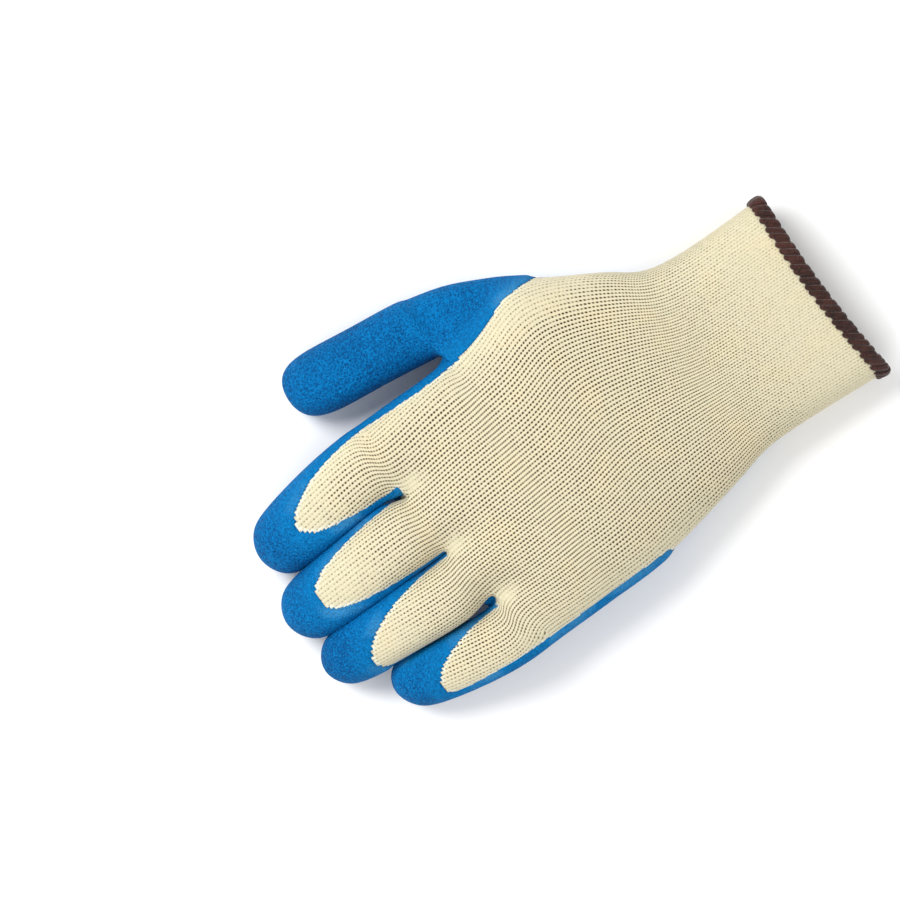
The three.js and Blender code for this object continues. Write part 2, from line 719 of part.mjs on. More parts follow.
function flatGeometry(shape) {
  const depth = PALM_THICKNESS + 2 * BEYOND;
  const geometry = new THREE.ExtrudeGeometry(shape, { depth, bevelEnabled: false });
  geometry.translate(0, 0, -BEYOND);
  return geometry;
}

// Everything on the cuff's side of the coat's edge across the palm.
function cuffSide() {
  const reach = PALM_WIDTH / 2 + THUMB_REACH + BEYOND;
  const shape = new THREE.Shape([
    new THREE.Vector2(PALM_SHIFT - reach, -BEYOND),
    new THREE.Vector2(PALM_SHIFT + reach, -BEYOND),
    new THREE.Vector2(PALM_SHIFT + reach, COAT_START - COAT_RISE / 2),
    new THREE.Vector2(PALM_SHIFT, COAT_START + COAT_RISE),
    new THREE.Vector2(PALM_SHIFT - reach, COAT_START + COAT_RISE / 2),
  ]);
  return flatGeometry(shape);
}

function coatGeometry() {
  const shell = solidOf(wallGeometry(COAT_OUTSIDE, CLEARANCE));
  const bare = solidOf(flatGeometry(bareOutline())).intersect(solidOf(aboveMiddle()));
  return geometryFrom(shell.subtract(bare).subtract(solidOf(cuffSide())));
}

// The hem: a U over the cuff's edge, with the knit's wall inside it. Each corner of the section is a distance
// out from the knit's outer side and a distance along the glove from the cuff's edge.
function hemSection() {
  const outer = CLEARANCE + HEM_WALL;
  const inner = -KNIT_WALL - outer;
  const end = -outer;
  const arc = (middle, from) => range(HEM_SIDES).map((i) => {
    const angle = radians(from + (90 * (i + 0.5)) / HEM_SIDES);
    return [middle + outer * Math.cos(angle), outer * Math.sin(angle)];
  });
  return [
    [outer, HEM_HEIGHT],
    [CLEARANCE, HEM_HEIGHT],
    [CLEARANCE, -CLEARANCE],
    [-KNIT_WALL - CLEARANCE, -CLEARANCE],
    [-KNIT_WALL - CLEARANCE, HEM_HEIGHT],
    [inner, HEM_HEIGHT],
    [inner, 0],
    ...arc(-KNIT_WALL, 180),
    [-KNIT_WALL / 2, end],
    ...arc(0, 270),
    [outer, 0],
  ];
}

function hemGeometry() {
  const section = hemSection();
  const points = cuffRim.flatMap((i) => {
    const above = aboveRim(i);
    const rise = hand.points[above].y - hand.points[i].y;
    return section.map(([out, up]) => {
      const way = up / rise;
      const p = hand.points[i].clone().lerp(hand.points[above], way);
      const turn = handWaysOut[i].clone().lerp(handWaysOut[above], way);
      return p.addScaledVector(turn, out);
    });
  });
  const count = section.length;
  const faces = cuffRim.flatMap((_, i) => range(count).map((k) => {
    const [here, next] = [i * count, ((i + 1) % cuffRim.length) * count];
    const after = (k + 1) % count;
    return [here + k, next + k, next + after, here + after];
  }));
  return geometryOf(points, triangles(faces));
}

function piece(name, geometry, finish) {
  const faceted = geometry.index ? geometry.toNonIndexed() : geometry;
  faceted.computeVertexNormals();
  const mesh = new THREE.Mesh(faceted, new THREE.MeshStandardMaterial({ ...finish, metalness: 0 }));
  mesh.name = name;
  return mesh;
}

const glove = new THREE.Group();
glove.add(piece('knit_liner', wallGeometry(0, -KNIT_WALL), KNIT_FINISH));
glove.add(piece('latex_coat', coatGeometry(), LATEX_FINISH));
glove.add(piece('cuff_hem', hemGeometry(), HEM_FINISH));

// The origin is under the middle of the glove, on the surface that it lies on.
const bounds = new THREE.Box3().setFromObject(glove);
const centre = bounds.getCenter(point(0, 0, 0));
glove.position.set(-centre.x, -centre.y, -bounds.min.z);

const part = new THREE.Group();
part.add(glove);

export default part;
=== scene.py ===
"""A seamless knitted work glove with a latex coat on its palm, lying palm down.

The hand is drawn in millimetres: x runs to the thumb side from the middle of the cuff, y from the
cuff's edge to the fingertips, and z up out of the back of the hand. placed() turns such a place into
metres in the frame.
"""

import json
import logging
import math
from collections.abc import Callable, Sequence
from dataclasses import dataclass, field
from enum import IntEnum

import bmesh
import bpy
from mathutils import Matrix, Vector, kdtree

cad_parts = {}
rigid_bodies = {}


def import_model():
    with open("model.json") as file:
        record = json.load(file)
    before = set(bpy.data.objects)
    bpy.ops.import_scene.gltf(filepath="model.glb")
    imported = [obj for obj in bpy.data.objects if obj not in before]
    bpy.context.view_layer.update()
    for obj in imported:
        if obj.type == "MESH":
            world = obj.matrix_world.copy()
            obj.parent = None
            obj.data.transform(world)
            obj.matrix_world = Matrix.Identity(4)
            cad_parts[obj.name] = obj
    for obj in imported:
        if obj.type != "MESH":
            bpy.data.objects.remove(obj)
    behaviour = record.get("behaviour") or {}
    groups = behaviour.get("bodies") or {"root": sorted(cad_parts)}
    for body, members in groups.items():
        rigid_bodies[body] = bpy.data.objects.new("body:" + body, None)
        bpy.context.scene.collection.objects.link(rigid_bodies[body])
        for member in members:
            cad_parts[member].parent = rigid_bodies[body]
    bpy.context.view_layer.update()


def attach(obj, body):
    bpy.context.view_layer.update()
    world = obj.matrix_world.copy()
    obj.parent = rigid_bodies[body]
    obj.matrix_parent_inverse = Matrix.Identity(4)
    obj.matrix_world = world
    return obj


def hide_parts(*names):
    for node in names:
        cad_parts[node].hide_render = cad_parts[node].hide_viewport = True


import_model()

LOG = logging.getLogger("glove")
Colour = tuple[float, float, float]
MM = 0.001
MIDDLE_OF_GLOVE = Vector((24.2654, 121.6736, 0.0))


class Mark(IntEnum):
    """The places along the glove that sections are counted from."""

    CUFF = 0
    WRIST = 1
    THUMB = 2
    CROTCH = 3


class Digit(IntEnum):
    """The four fingers."""

    LITTLE = 0
    RING = 1
    MIDDLE = 2
    INDEX = 3


def lerp(a: float, b: float, share: float) -> float:
    """The value at a share of the way from a to b."""
    return a + (b - a) * share


def clamp(value: float, low: float = 0.0, high: float = 1.0) -> float:
    """The value, kept between two limits."""
    return max(low, min(high, value))


def smooth(low: float, high: float, value: float) -> float:
    """A soft step from 0 to 1 between two values."""
    share = clamp((value - low) / (high - low))
    return share * share * (3 - 2 * share)


def between(rows: Sequence, at: float, name: str) -> float:
    """A column of a table, between the rows on either side of a place.

    Args:
        rows: The table's rows, each with its place in at.
        at: The place.
        name: The column's name.

    Returns:
        The value there, or the first or last row's beyond the table.
    """
    if at <= rows[0].at:
        return getattr(rows[0], name)
    for before, after in zip(rows, rows[1:]):
        if at <= after.at:
            share = (at - before.at) / (after.at - before.at)
            return lerp(getattr(before, name), getattr(after, name), share)
    return getattr(rows[-1], name)


def placed(place: Vector) -> Vector:
    """A place on the drawing in metres in the frame."""
    return (place - MIDDLE_OF_GLOVE) * MM


def drawn(place: Vector) -> Vector:
    """A place in the frame as millimetres on the drawing."""
    return place / MM + MIDDLE_OF_GLOVE


@dataclass(frozen=True)
class HandRow:
    """A section of the hand: 0 is the cuff's edge, 1 the wrist and 2 the thumb's crotch."""

    at: float
    cuff: float
    wrist: float
    palm: float
    bulge: float
    fold: float
    crown: float
    thumb: float
    sink: float


@dataclass(frozen=True)
class KnuckleRow:
    """A section between the thumb's crotch, 0, and the fingers' crotches, 1."""

    at: float
    lift: float


@dataclass(frozen=True)
class Finger:
    """A finger's own sizes, and how its root, its back and its tip are set against the middle finger's."""

    length: float
    width: float
    thickness: float
    drop: float
    back: float
    taper: float
    lean: float


@dataclass(frozen=True)
class FingerRow:
    """A section of a finger from its crotch, 0, to its tip, 1."""

    at: float
    width: float
    thickness: float
    curl: float
    slot: float


@dataclass(frozen=True)
class ThumbRow:
    """A section of the thumb from its crotch, 0, to its tip, 1."""

    at: float
    width: float
    thickness: float
    lean: float
    lift: float


@dataclass(frozen=True)
class Tongue:
    """The bare knit along the back of a finger, as shares of the finger's length and width."""

    length: float
    half: float
    lean: float
    round: float
    inset: float


@dataclass(frozen=True)
class EdgeRow:
    """A place on the thumb's side of the bare knit, as a share of the thumb's reach."""

    at: float
    out: float


@dataclass(frozen=True)
class LevelRow:
    """The height of the coat's edge along the hand, as shares of the wrist's and palm's thickness."""

    at: float
    wrist: float
    palm: float


HAND_ROWS = (
    HandRow(Mark.CUFF, 1, 0, 0, 0, -0.12, 0, 0, -0.005),
    HandRow(Mark.WRIST, 0, 1, 0, 0, -0.13, 0, 0, -0.02),
    HandRow(1.21, 0, 0.8, 0.2, 0.2, 0.06, 0.2, 0.35, 0.01),
    HandRow(1.42, 0, 0.45, 0.55, 0.4, 0.27, 0.4, 0.65, 0.04),
    HandRow(1.63, 0, 0.15, 0.85, 0.65, 0.3, 0.6, 0.8, 0.05),
    HandRow(1.82, 0, 0, 1, 0.86, 0.06, 0.25, 0.95, 0.05),
    HandRow(Mark.THUMB, 0, 0, 1, 1.02, -0.04, 0.04, 1, 0.03),
)
KNUCKLE_ROWS = (KnuckleRow(0.16, 0.1), KnuckleRow(0.55, 0.35), KnuckleRow(1, 1))
FINGERS = (
    Finger(57, 24.6, 19.5, 5.5, 8.5, 0.04, 3.0),
    Finger(67.7, 25.2, 21, 1.5, 1.5, 0.03, 1.6),
    Finger(67.5, 27.6, 22, 0, 0, 0, 0),
    Finger(62.5, 29.1, 22, 1, 1.5, 0.03, 0),
)
FINGER_ROWS = (
    FingerRow(0.13, 1, 1.02, 0.03, 1),
    FingerRow(0.42, 0.98, 1, 0.25, 0),
    FingerRow(0.78, 0.91, 0.95, 0.72, 0),
    FingerRow(0.94, 0.62, 0.72, 0.95, 0),
)
THUMB_ROWS = (
    ThumbRow(0.1, 1, 1, 0.26, 0.06),
    ThumbRow(0.45, 0.98, 0.98, 0.62, 0.02),
    ThumbRow(0.76, 0.98, 0.92, 0.9, 0),
    ThumbRow(0.94, 0.72, 0.7, 1.04, 0),
)
TONGUES = (
    Tongue(0.73, 0.47, 0.2, 0.85, 0.07),
    Tongue(0.74, 0.49, 0.24, 0.9, -0.05),
    Tongue(0.77, 0.49, -0.02, 0.75, 0),
    Tongue(0.7, 0.45, 0, 1, 0),
)
THUMB_SIDE_EDGE = (
    EdgeRow(1.3, 0.2),
    EdgeRow(1.42, 0.26),
    EdgeRow(1.55, 0.28),
    EdgeRow(1.65, 0.27),
    EdgeRow(1.75, 0.16),
    EdgeRow(1.85, 0.05),
    EdgeRow(2, -0.05),
    EdgeRow(2.4, -0.08),
)
ROOT_WALES = (-22, -16, -11, -8, 0, 8, 11, 16, 22)
TUBE_WALES = (-22, -16.5, -11, -5.8, 0, 5.8, 11, 16.5, 22)
COAT_LEVELS = (
    LevelRow(0, 0.24, 0),
    LevelRow(1, 0.24, 0),
    LevelRow(1.5, 0, 0.24),
    LevelRow(1.75, 0, 0.45),
    LevelRow(2, 0, 0.5),
)


def select_only(thing: bpy.types.Object) -> None:
    """Selects one object and makes it the active one."""
    bpy.ops.object.select_all(action="DESELECT")
    thing.select_set(True)
    bpy.context.view_layer.objects.active = thing


def copy_of(thing: bpy.types.Object, name: str) -> bpy.types.Object:
    """A copy of an object with its own mesh.

    Args:
        thing: The object to copy.
        name: The copy's name.

    Returns:
        The copy, selected and active.
    """
    select_only(thing)
    bpy.ops.object.duplicate()
    copy = bpy.context.view_layer.objects.active
    copy.name = copy.data.name = name
    return copy


def apply_modifier(thing: bpy.types.Object, kind: str, **settings: object) -> None:
    """Adds a modifier to an object and applies it.

    Args:
        thing: The object.
        kind: The modifier's type.
        **settings: Its properties.
    """
    select_only(thing)
    modifier = thing.modifiers.new(kind.lower(), kind)
    for name, value in settings.items():
        setattr(modifier, name, value)
    bpy.ops.object.modifier_apply(modifier=modifier.name)


def shade_smooth(thing: bpy.types.Object) -> None:
    """Gives an object smooth shading."""
    select_only(thing)
    bpy.ops.object.shade_smooth()


def edit_faces(thing: bpy.types.Object, wanted: Callable[[bmesh.types.BMFace], bool]) -> None:
    """Opens an object in edit mode with only some faces selected.

    Args:
        thing: The object.
        wanted: Says whether a face is to be selected.
    """
    select_only(thing)
    bpy.ops.object.mode_set(mode="EDIT")
    bpy.ops.mesh.select_mode(type="FACE")
    bpy.ops.mesh.select_all(action="DESELECT")
    net = bmesh.from_edit_mesh(thing.data)
    for face in [face for face in net.faces if wanted(face)]:
        face.select_set(True)
    bmesh.update_edit_mesh(thing.data)


def leave_edit() -> None:
    """Goes back to object mode."""
    bpy.ops.object.mode_set(mode="OBJECT")


def write_attribute(thing: bpy.types.Object, name: str, values: Sequence[float]) -> None:
    """Writes a value for each corner of a mesh, for a material to read.

    Args:
        thing: The object.
        name: The attribute's name.
        values: One value for each corner.
    """
    thing.data.attributes.new(name, "FLOAT", "POINT").data.foreach_set("value", values)


def tree_of(places: Sequence[Vector]) -> kdtree.KDTree:
    """A search tree over places."""
    tree = kdtree.KDTree(len(places))
    for i, place in enumerate(places):
        tree.insert(place, i)
    tree.balance()
    return tree


class Net:
    """A net of four-sided faces that grows by extruding rings of edges.

    Attributes:
        thing: The object that holds the net.
        stitches: For each face, the knit's own coordinates at each of its corners.
    """

    def __init__(self, name: str, ring: Sequence[Vector]) -> None:
        """Starts the net with an open ring.

        Args:
            name: The object's name.
            ring: The ring's corners, in metres.
        """
        bpy.ops.object.select_all(action="DESELECT")
        bpy.ops.mesh.primitive_circle_add(vertices=len(ring), radius=MM, fill_type="NOTHING")
        self.thing = bpy.context.view_layer.objects.active
        self.thing.name = self.thing.data.name = name
        self.stitches: dict[frozenset[int], dict[int, tuple[float, float]]] = {}
        bpy.ops.object.mode_set(mode="EDIT")
        self._place(range(len(ring)), ring)

    def _open(self) -> bmesh.types.BMesh:
        """The net in edit mode, with its corners numbered."""
        net = bmesh.from_edit_mesh(self.thing.data)
        net.verts.index_update()
        net.verts.ensure_lookup_table()
        return net

    def _place(self, numbers: Sequence[int], corners: Sequence[Vector]) -> None:
        """Moves corners to their places."""
        net = self._open()
        for number, corner in zip(numbers, corners):
            net.verts[number].co = corner
        bmesh.update_edit_mesh(self.thing.data)

    def _pick(self, pairs: Sequence[tuple[int, int]]) -> int:
        """Selects only the edges between pairs of corners.

        Args:
            pairs: The corners at the ends of each edge.

        Returns:
            How many corners the net has.
        """
        bpy.ops.mesh.select_mode(type="EDGE")
        bpy.ops.mesh.select_all(action="DESELECT")
        net = self._open()
        for a, b in pairs:
            net.edges.get((net.verts[a], net.verts[b])).select_set(True)
        bmesh.update_edit_mesh(self.thing.data)
        return len(net.verts)

    def extrude(
        self,
        ring: Sequence[int],
        corners: Sequence[Vector],
        wales: tuple[Sequence[float], Sequence[float]] = ((), ()),
        courses: tuple[float, float] = (0.0, 0.0),
    ) -> list[int]:
        """Extrudes a closed ring to a new one.

        Args:
            ring: The numbers of the ring's corners.
            corners: The places of the new ring's corners.
            wales: The knit's wale at each corner of the old and the new ring, with the one where it closes.
            courses: The knit's course at the old and the new ring.

        Returns:
            The numbers of the new ring's corners.
        """
        after = [*ring[1:], ring[0]]
        count = self._pick(list(zip(ring, after)))
        bpy.ops.mesh.extrude_edges_indiv()
        net = self._open()
        above: dict[int, int] = {}
        for corner in net.verts[count:]:
            for edge in corner.link_edges:
                other = edge.other_vert(corner).index
                if other < count:
                    above[other] = corner.index
        upper = [above[number] for number in ring]
        self._place(upper, corners)
        if wales[0]:
            for i, (a, b) in enumerate(zip(ring, after)):
                c, d = above[b], above[a]
                self.stitches[frozenset((a, b, c, d))] = {
                    a: (wales[0][i], courses[0]),
                    b: (wales[0][i + 1], courses[0]),
                    c: (wales[1][i + 1], courses[1]),
                    d: (wales[1][i], courses[1]),
                }
        return upper

    def link(self, a: int, b: int, place: Vector) -> int:
        """Adds a corner between two others, with an edge to each.

        Args:
            a: One corner.
            b: The other corner.
            place: Where the new corner lies.

        Returns:
            The new corner's number.
        """
        bpy.ops.mesh.select_mode(type="VERT")
        bpy.ops.mesh.select_all(action="DESELECT")
        net = self._open()
        for number in (a, b):
            net.verts[number].select_set(True)
        bmesh.update_edit_mesh(self.thing.data)
        bpy.ops.mesh.edge_face_add()
        count = self._pick([(a, b)])
        bpy.ops.mesh.subdivide(number_cuts=1)
        self._place([count], [place])
        return count

    def close(self, ring: Sequence[int], tip: Vector) -> None:
        """Closes a ring of eight corners with four faces round a tip.

        Args:
            ring: The ring's corners. Those with even places become the corners of the four faces.
            tip: Where the four faces meet.
        """
        after = [*ring[1:], ring[0]]
        count = self._pick(list(zip(ring, after)))
        bpy.ops.mesh.edge_face_add()
        bpy.ops.mesh.poke()
        self._place([count], [tip])
        self._pick([(number, count) for number in ring[::2]])
        bpy.ops.mesh.dissolve_edges(use_verts=False)

    def bridge(self, first: Sequence[int], last: Sequence[int]) -> None:
        """Joins two rings with faces.

        Args:
            first: The corners of one ring.
            last: The corners of the other ring.
        """
        self._pick([pair for ring in (first, last) for pair in zip(ring, [*ring[1:], ring[0]])])
        bpy.ops.mesh.bridge_edge_loops()

    def finish(self) -> bpy.types.Object:
        """Turns the faces outwards, writes the knit's coordinates and leaves edit mode.

        Returns:
            The net's object.
        """
        bpy.ops.mesh.select_all(action="SELECT")
        bpy.ops.mesh.normals_make_consistent(inside=False)
        leave_edit()
        mesh = self.thing.data
        if self.stitches:
            weave = mesh.uv_layers.new(name="Weave")
            for face in mesh.polygons:
                here = self.stitches.get(frozenset(face.vertices), {})
                for loop, corner in zip(face.loop_indices, face.vertices):
                    weave.uv[loop].vector = here.get(corner, (0.0, 0.0))
        return self.thing


@dataclass(frozen=True)
class HandShape:
    """The sizes of the hand, in millimetres, and the places that follow from them."""

    cuff_length: float = 47.5
    heel_length: float = 86.0
    knuckle_length: float = 44.5
    cuff_width: float = 84.5
    cuff_thickness: float = 26.0
    wrist_width: float = 82.5
    wrist_thickness: float = 30.0
    palm_width: float = 111.0
    palm_thickness: float = 41.0
    cuff_shift: float = 1.2
    wrist_shift: float = 3.7
    palm_shift: float = 6.4
    thumb_reach: float = 28.5
    thumb_length: float = 60.0
    thumb_width: float = 24.6
    thumb_thickness: float = 22.0
    thumb_lean: float = 8.5
    web_reach: float = 4.4
    web_height: float = 0.4
    knuckle_height: float = 38.0
    finger_gap: float = 1.7
    crotch_width: float = 0.3
    crotch_dip: float = 5.0
    web_forward: float = 4.5
    little_side_back: float = 4.0
    rest: float = 1.3
    round_side: float = 0.72
    round_top: float = 0.76
    tip_height: float = 0.42
    squareness: float = 2.4
    side_round: float = 0.78
    side_start: float = math.radians(98)
    side_end: float = math.radians(-125)
    underside_turn: float = 0.6
    back_inset: float = 0.05
    cuff_start: float = 0.65
    cuff_bow: float = 2.85
    cuff_slant: float = 0.7
    back_steps: int = 8
    thumb_steps: int = 6

    def along(self, mark: float) -> float:
        """The way along the hand to a mark: 0 cuff, 1 wrist, 2 thumb's crotch, 3 fingers' crotches."""
        lengths = (self.cuff_length, self.heel_length, self.knuckle_length)
        return sum(length * clamp(mark - i) for i, length in enumerate(lengths))

    @property
    def crotch(self) -> float:
        """How far up the glove the fingers' crotches lie."""
        return self.along(Mark.CROTCH)

    @property
    def thumb_crotch(self) -> float:
        """How far up the glove the thumb's crotch lies."""
        return self.along(Mark.THUMB)

    @property
    def left(self) -> float:
        """The little finger's side of the palm."""
        return self.palm_shift - self.palm_width / 2

    @property
    def right(self) -> float:
        """The thumb's side of the palm."""
        return self.palm_shift + self.palm_width / 2

    def finger_share(self, f: int, y: float) -> float:
        """A place along a finger at a height of the glove, as a share of the finger's length."""
        return (y - (self.crotch - FINGERS[f].back)) / FINGERS[f].length

    def finger_width(self, f: int, y: float) -> float:
        """A finger's width at a height of the glove."""
        share = clamp(self.finger_share(f, y), 0, FINGER_ROWS[-2].at)
        return FINGERS[f].width * between(FINGER_ROWS, share, "width") * (1 - FINGERS[f].taper * share)

    def slot(self, y: float) -> float:
        """How wide the space between two fingers is at a height of the glove."""
        share = min(self.finger_share(Digit.RING, y), self.finger_share(Digit.MIDDLE, y))
        return self.crotch_width * between(FINGER_ROWS, share, "slot")

    def finger_centre(self, f: int, y: float) -> float:
        """Where a finger's middle lies across the glove, at a height of the glove.

        Args:
            f: The finger.
            y: The height.

        Returns:
            The finger's x.
        """
        spread = sum(finger.width for finger in FINGERS) + 3 * self.finger_gap
        start = self.left + (self.palm_width - spread) / 2
        middle = start + FINGERS[Digit.LITTLE].width + FINGERS[Digit.RING].width + 1.5 * self.finger_gap
        if f == Digit.RING:
            return middle - (self.finger_gap + self.finger_width(Digit.RING, y)) / 2
        if f == Digit.MIDDLE:
            return middle + (self.finger_gap + self.finger_width(Digit.MIDDLE, y)) / 2
        beside, sign = (Digit.RING, -1) if f == Digit.LITTLE else (Digit.MIDDLE, 1)
        away = (self.finger_width(beside, y) + self.finger_width(f, y)) / 2 + self.finger_gap
        return self.finger_centre(beside, y) + sign * away

    def finger_top(self, f: int) -> float:
        """The height of a finger's back at its knuckle."""
        return self.knuckle_height - FINGERS[f].drop

    def shoulder(self, across: float) -> float:
        """Half of a square-shouldered round section, from -1 to 1 across it."""
        return (1 - min(abs(across), 1) ** self.squareness) ** (1 / self.squareness)

    def back_shares(self, mark: float) -> list[float]:
        """Where the lines of knit divide the back at a mark along the hand.

        Args:
            mark: The mark.

        Returns:
            Shares of the back's width, from 0 to 1.
        """
        crotch = self.crotch
        first = self.finger_centre(Digit.LITTLE, crotch) - FINGERS[Digit.LITTLE].width / 2
        last = self.finger_centre(Digit.INDEX, crotch) + FINGERS[Digit.INDEX].width / 2
        shares = []
        for i in range(self.back_steps + 1):
            f = min(i // 2, Digit.INDEX)
            x = self.finger_centre(f, crotch) + (i - 2 * f - 1) * (FINGERS[f].width + self.finger_gap) / 2
            own = clamp((x - first) / (last - first))
            shares.append(lerp(i / self.back_steps, own, mark / Mark.CROTCH))
        return shares

    def hand_ring(self, row: HandRow) -> list[Vector]:
        """One section of the hand.

        Args:
            row: The section.

        Returns:
            Its corners over the back, round the thumb's side, under the palm and up the little side.
        """

        def mix(cuff: float, wrist: float, palm: float) -> float:
            """The section's own blend of three sizes."""
            return row.cuff * cuff + row.wrist * wrist + row.palm * palm

        half = mix(self.cuff_width, self.wrist_width, self.palm_width) / 2
        middle = mix(self.cuff_shift, self.wrist_shift, self.palm_shift)
        thick = mix(self.cuff_thickness, self.wrist_thickness, self.palm_thickness)
        left, right = middle - half, middle + half
        bottom = self.rest - row.sink * self.palm_thickness
        centre = bottom + thick / 2
        bow = self.cuff_bow * (1 - row.palm)
        crown_end = right + row.crown * self.thumb_reach
        crown_middle = (left + crown_end) / 2

        def corner(x: float, z: float) -> Vector:
            """A corner at its place along the bowed and slanting section."""
            across = (x - middle) / half
            edge = row.cuff * (self.cuff_start + self.cuff_slant * across)
            return Vector((x, self.along(row.at) + edge - bow * across**2, z))

        def crown(x: float) -> float:
            """The height of the back's curve over the section's middle."""
            return thick / 2 * self.shoulder((x - crown_middle) / (crown_end - crown_middle))

        shares = self.back_shares(row.at)
        back_start = lerp(left, crown_end, self.back_inset)
        fold = right + row.fold * self.thumb_reach
        side_height = lerp(thick * self.side_round, self.thumb_thickness, row.thumb) / 2
        side_half = lerp(side_height, self.thumb_width / 2, row.thumb)
        side_x = right + row.bulge * self.thumb_reach - side_half
        fold_angle = math.acos(clamp((fold - side_x) / side_half, -1, 1))
        first = min(lerp(fold_angle, self.side_end, 1 / self.thumb_steps), self.side_start)

        ring = [corner(x, centre + crown(x)) for x in (lerp(back_start, fold, s) for s in shares)]
        for i in range(self.thumb_steps - 1):
            angle = lerp(first, self.side_end, i / (self.thumb_steps - 2))
            x = side_x + side_half * math.cos(angle)
            as_hand = centre + math.copysign(crown(x), math.sin(angle))
            as_thumb = bottom + side_height * (1 + math.sin(angle))
            ring.append(corner(x, lerp(as_hand, as_thumb, row.thumb)))
        under_end = min(fold, side_x - self.underside_turn * side_half)
        under = [corner(x, centre - crown(x)) for x in (lerp(back_start, under_end, s) for s in shares)]
        return [*ring, *reversed(under), corner(left, centre)]

    def knuckle_ring(self, row: KnuckleRow) -> list[Vector]:
        """One section of the knuckles.

        Args:
            row: The section.

        Returns:
            Its corners over the back, beside the index, under the palm and beside the little finger.
        """
        start = HAND_ROWS[-1]
        shares = self.back_shares(lerp(Mark.THUMB, Mark.CROTCH, row.at))
        left, right = self.left, self.right
        back_start = lerp(left, right, self.back_inset)
        inner_end = lerp(right, left, self.back_inset)
        back_end = lerp(right + start.fold * self.thumb_reach, inner_end, row.at)
        palm_centre = self.rest + self.palm_thickness * (0.5 - start.sink)
        middle = (left + right) / 2

        def corner(i: int, under: bool) -> Vector:
            """A corner of the back or of the underside.

            Args:
                i: The corner, from the little finger's side.
                under: Whether it is on the underside.

            Returns:
                Its place on the drawing.
            """
            a, b = (FINGERS[int(clamp(f, Digit.LITTLE, Digit.INDEX))] for f in ((i - 1) // 2, i // 2))
            outer = i in (0, self.back_steps)
            x = lerp(back_start, back_end, shares[i])
            behind = (a.back + b.back) / 2 + (self.little_side_back if i == 0 else 0)
            top = self.knuckle_height - (a.drop + b.drop) / 2
            thick = (a.thickness + b.thickness) / 2
            centre = lerp(palm_centre, top - thick / 2, row.at)
            half = lerp(self.palm_thickness / 2, thick / 2, row.lift if under else row.at)
            at_finger = self.round_top if outer else 1
            round_ = lerp(self.shoulder((x - middle) / (right - middle)), at_finger, row.at)
            between_fingers = row.at == 1 and i % 2 == 0 and not outer
            dip = self.crotch_dip if between_fingers else 0
            forward = self.web_forward if between_fingers and under else 0
            z = centre - half * round_ + dip if under else centre + half * round_ - dip
            return Vector((x, lerp(self.thumb_crotch, self.crotch - behind, row.at) + forward, z))

        count = self.back_steps + 1
        back = [corner(i, False) for i in range(count)]
        under = [corner(i, True) for i in range(count)]
        index = (back[-1] + under[-1]) / 2
        little = (back[0] + under[0]) / 2
        index.x, little.x = right, left
        return [*back, index, *reversed(under), little]

    def tube_ring(self, centre: Vector, half_width: float, half_height: float) -> list[Vector]:
        """Eight corners round a finger or the thumb.

        Args:
            centre: The middle of the section.
            half_width: Half of its width.
            half_height: Half of its height.

        Returns:
            The corners, from the upper left one over the top.
        """
        s, t = self.round_side, self.round_top
        places = ((-s, t), (0, 1), (s, t), (1, 0), (s, -t), (0, -1), (-s, -t), (-1, 0))
        return [centre + Vector((x * half_width, 0, z * half_height)) for x, z in places]

    def finger_rings(self, f: int) -> list[list[Vector]]:
        """The sections of a finger.

        Args:
            f: The finger.

        Returns:
            The corners of each section.
        """
        finger = FINGERS[f]
        knuckle = self.finger_top(f) - finger.thickness / 2
        rings = []
        for row in FINGER_ROWS:
            y = self.crotch - finger.back + row.at * finger.length
            left = 0 if f == Digit.LITTLE else self.slot(y) / 2
            right = 0 if f == Digit.INDEX else self.slot(y) / 2
            full = row.width * finger.width * (1 - finger.taper * row.at)
            z = lerp(knuckle, self.rest + finger.thickness * self.tip_height, row.curl)
            lean = finger.lean * row.at**2
            centre = Vector((self.finger_centre(f, y) + lean + (left - right) / 2, y, z))
            half = row.thickness * finger.thickness / 2
            rings.append(self.tube_ring(centre, (full - left - right) / 2, half))
        return rings

    def finger_tip(self, f: int) -> Vector:
        """The end of a finger."""
        y = self.crotch - FINGERS[f].back + FINGERS[f].length
        x = self.finger_centre(f, y) + FINGERS[f].lean
        return Vector((x, y, self.rest + FINGERS[f].thickness * self.tip_height))

    def thumb_rings(self) -> list[list[Vector]]:
        """Draws the sections of the thumb.

        Returns:
            The corners of each section.
        """
        root = self.right + self.thumb_reach - self.thumb_width / 2
        rings = []
        for row in THUMB_ROWS:
            half = row.thickness * self.thumb_thickness / 2
            y = self.thumb_crotch + row.at * self.thumb_length
            z = self.rest + half + row.lift * self.thumb_thickness
            centre = Vector((root + row.lean * self.thumb_lean, y, z))
            rings.append(self.tube_ring(centre, row.width * self.thumb_width / 2, half))
        return rings

    def thumb_tip(self) -> Vector:
        """The end of the thumb."""
        x = self.right + self.thumb_reach - self.thumb_width / 2 + self.thumb_lean
        y = self.thumb_crotch + self.thumb_length
        return Vector((x, y, self.rest + self.thumb_thickness * self.tip_height))


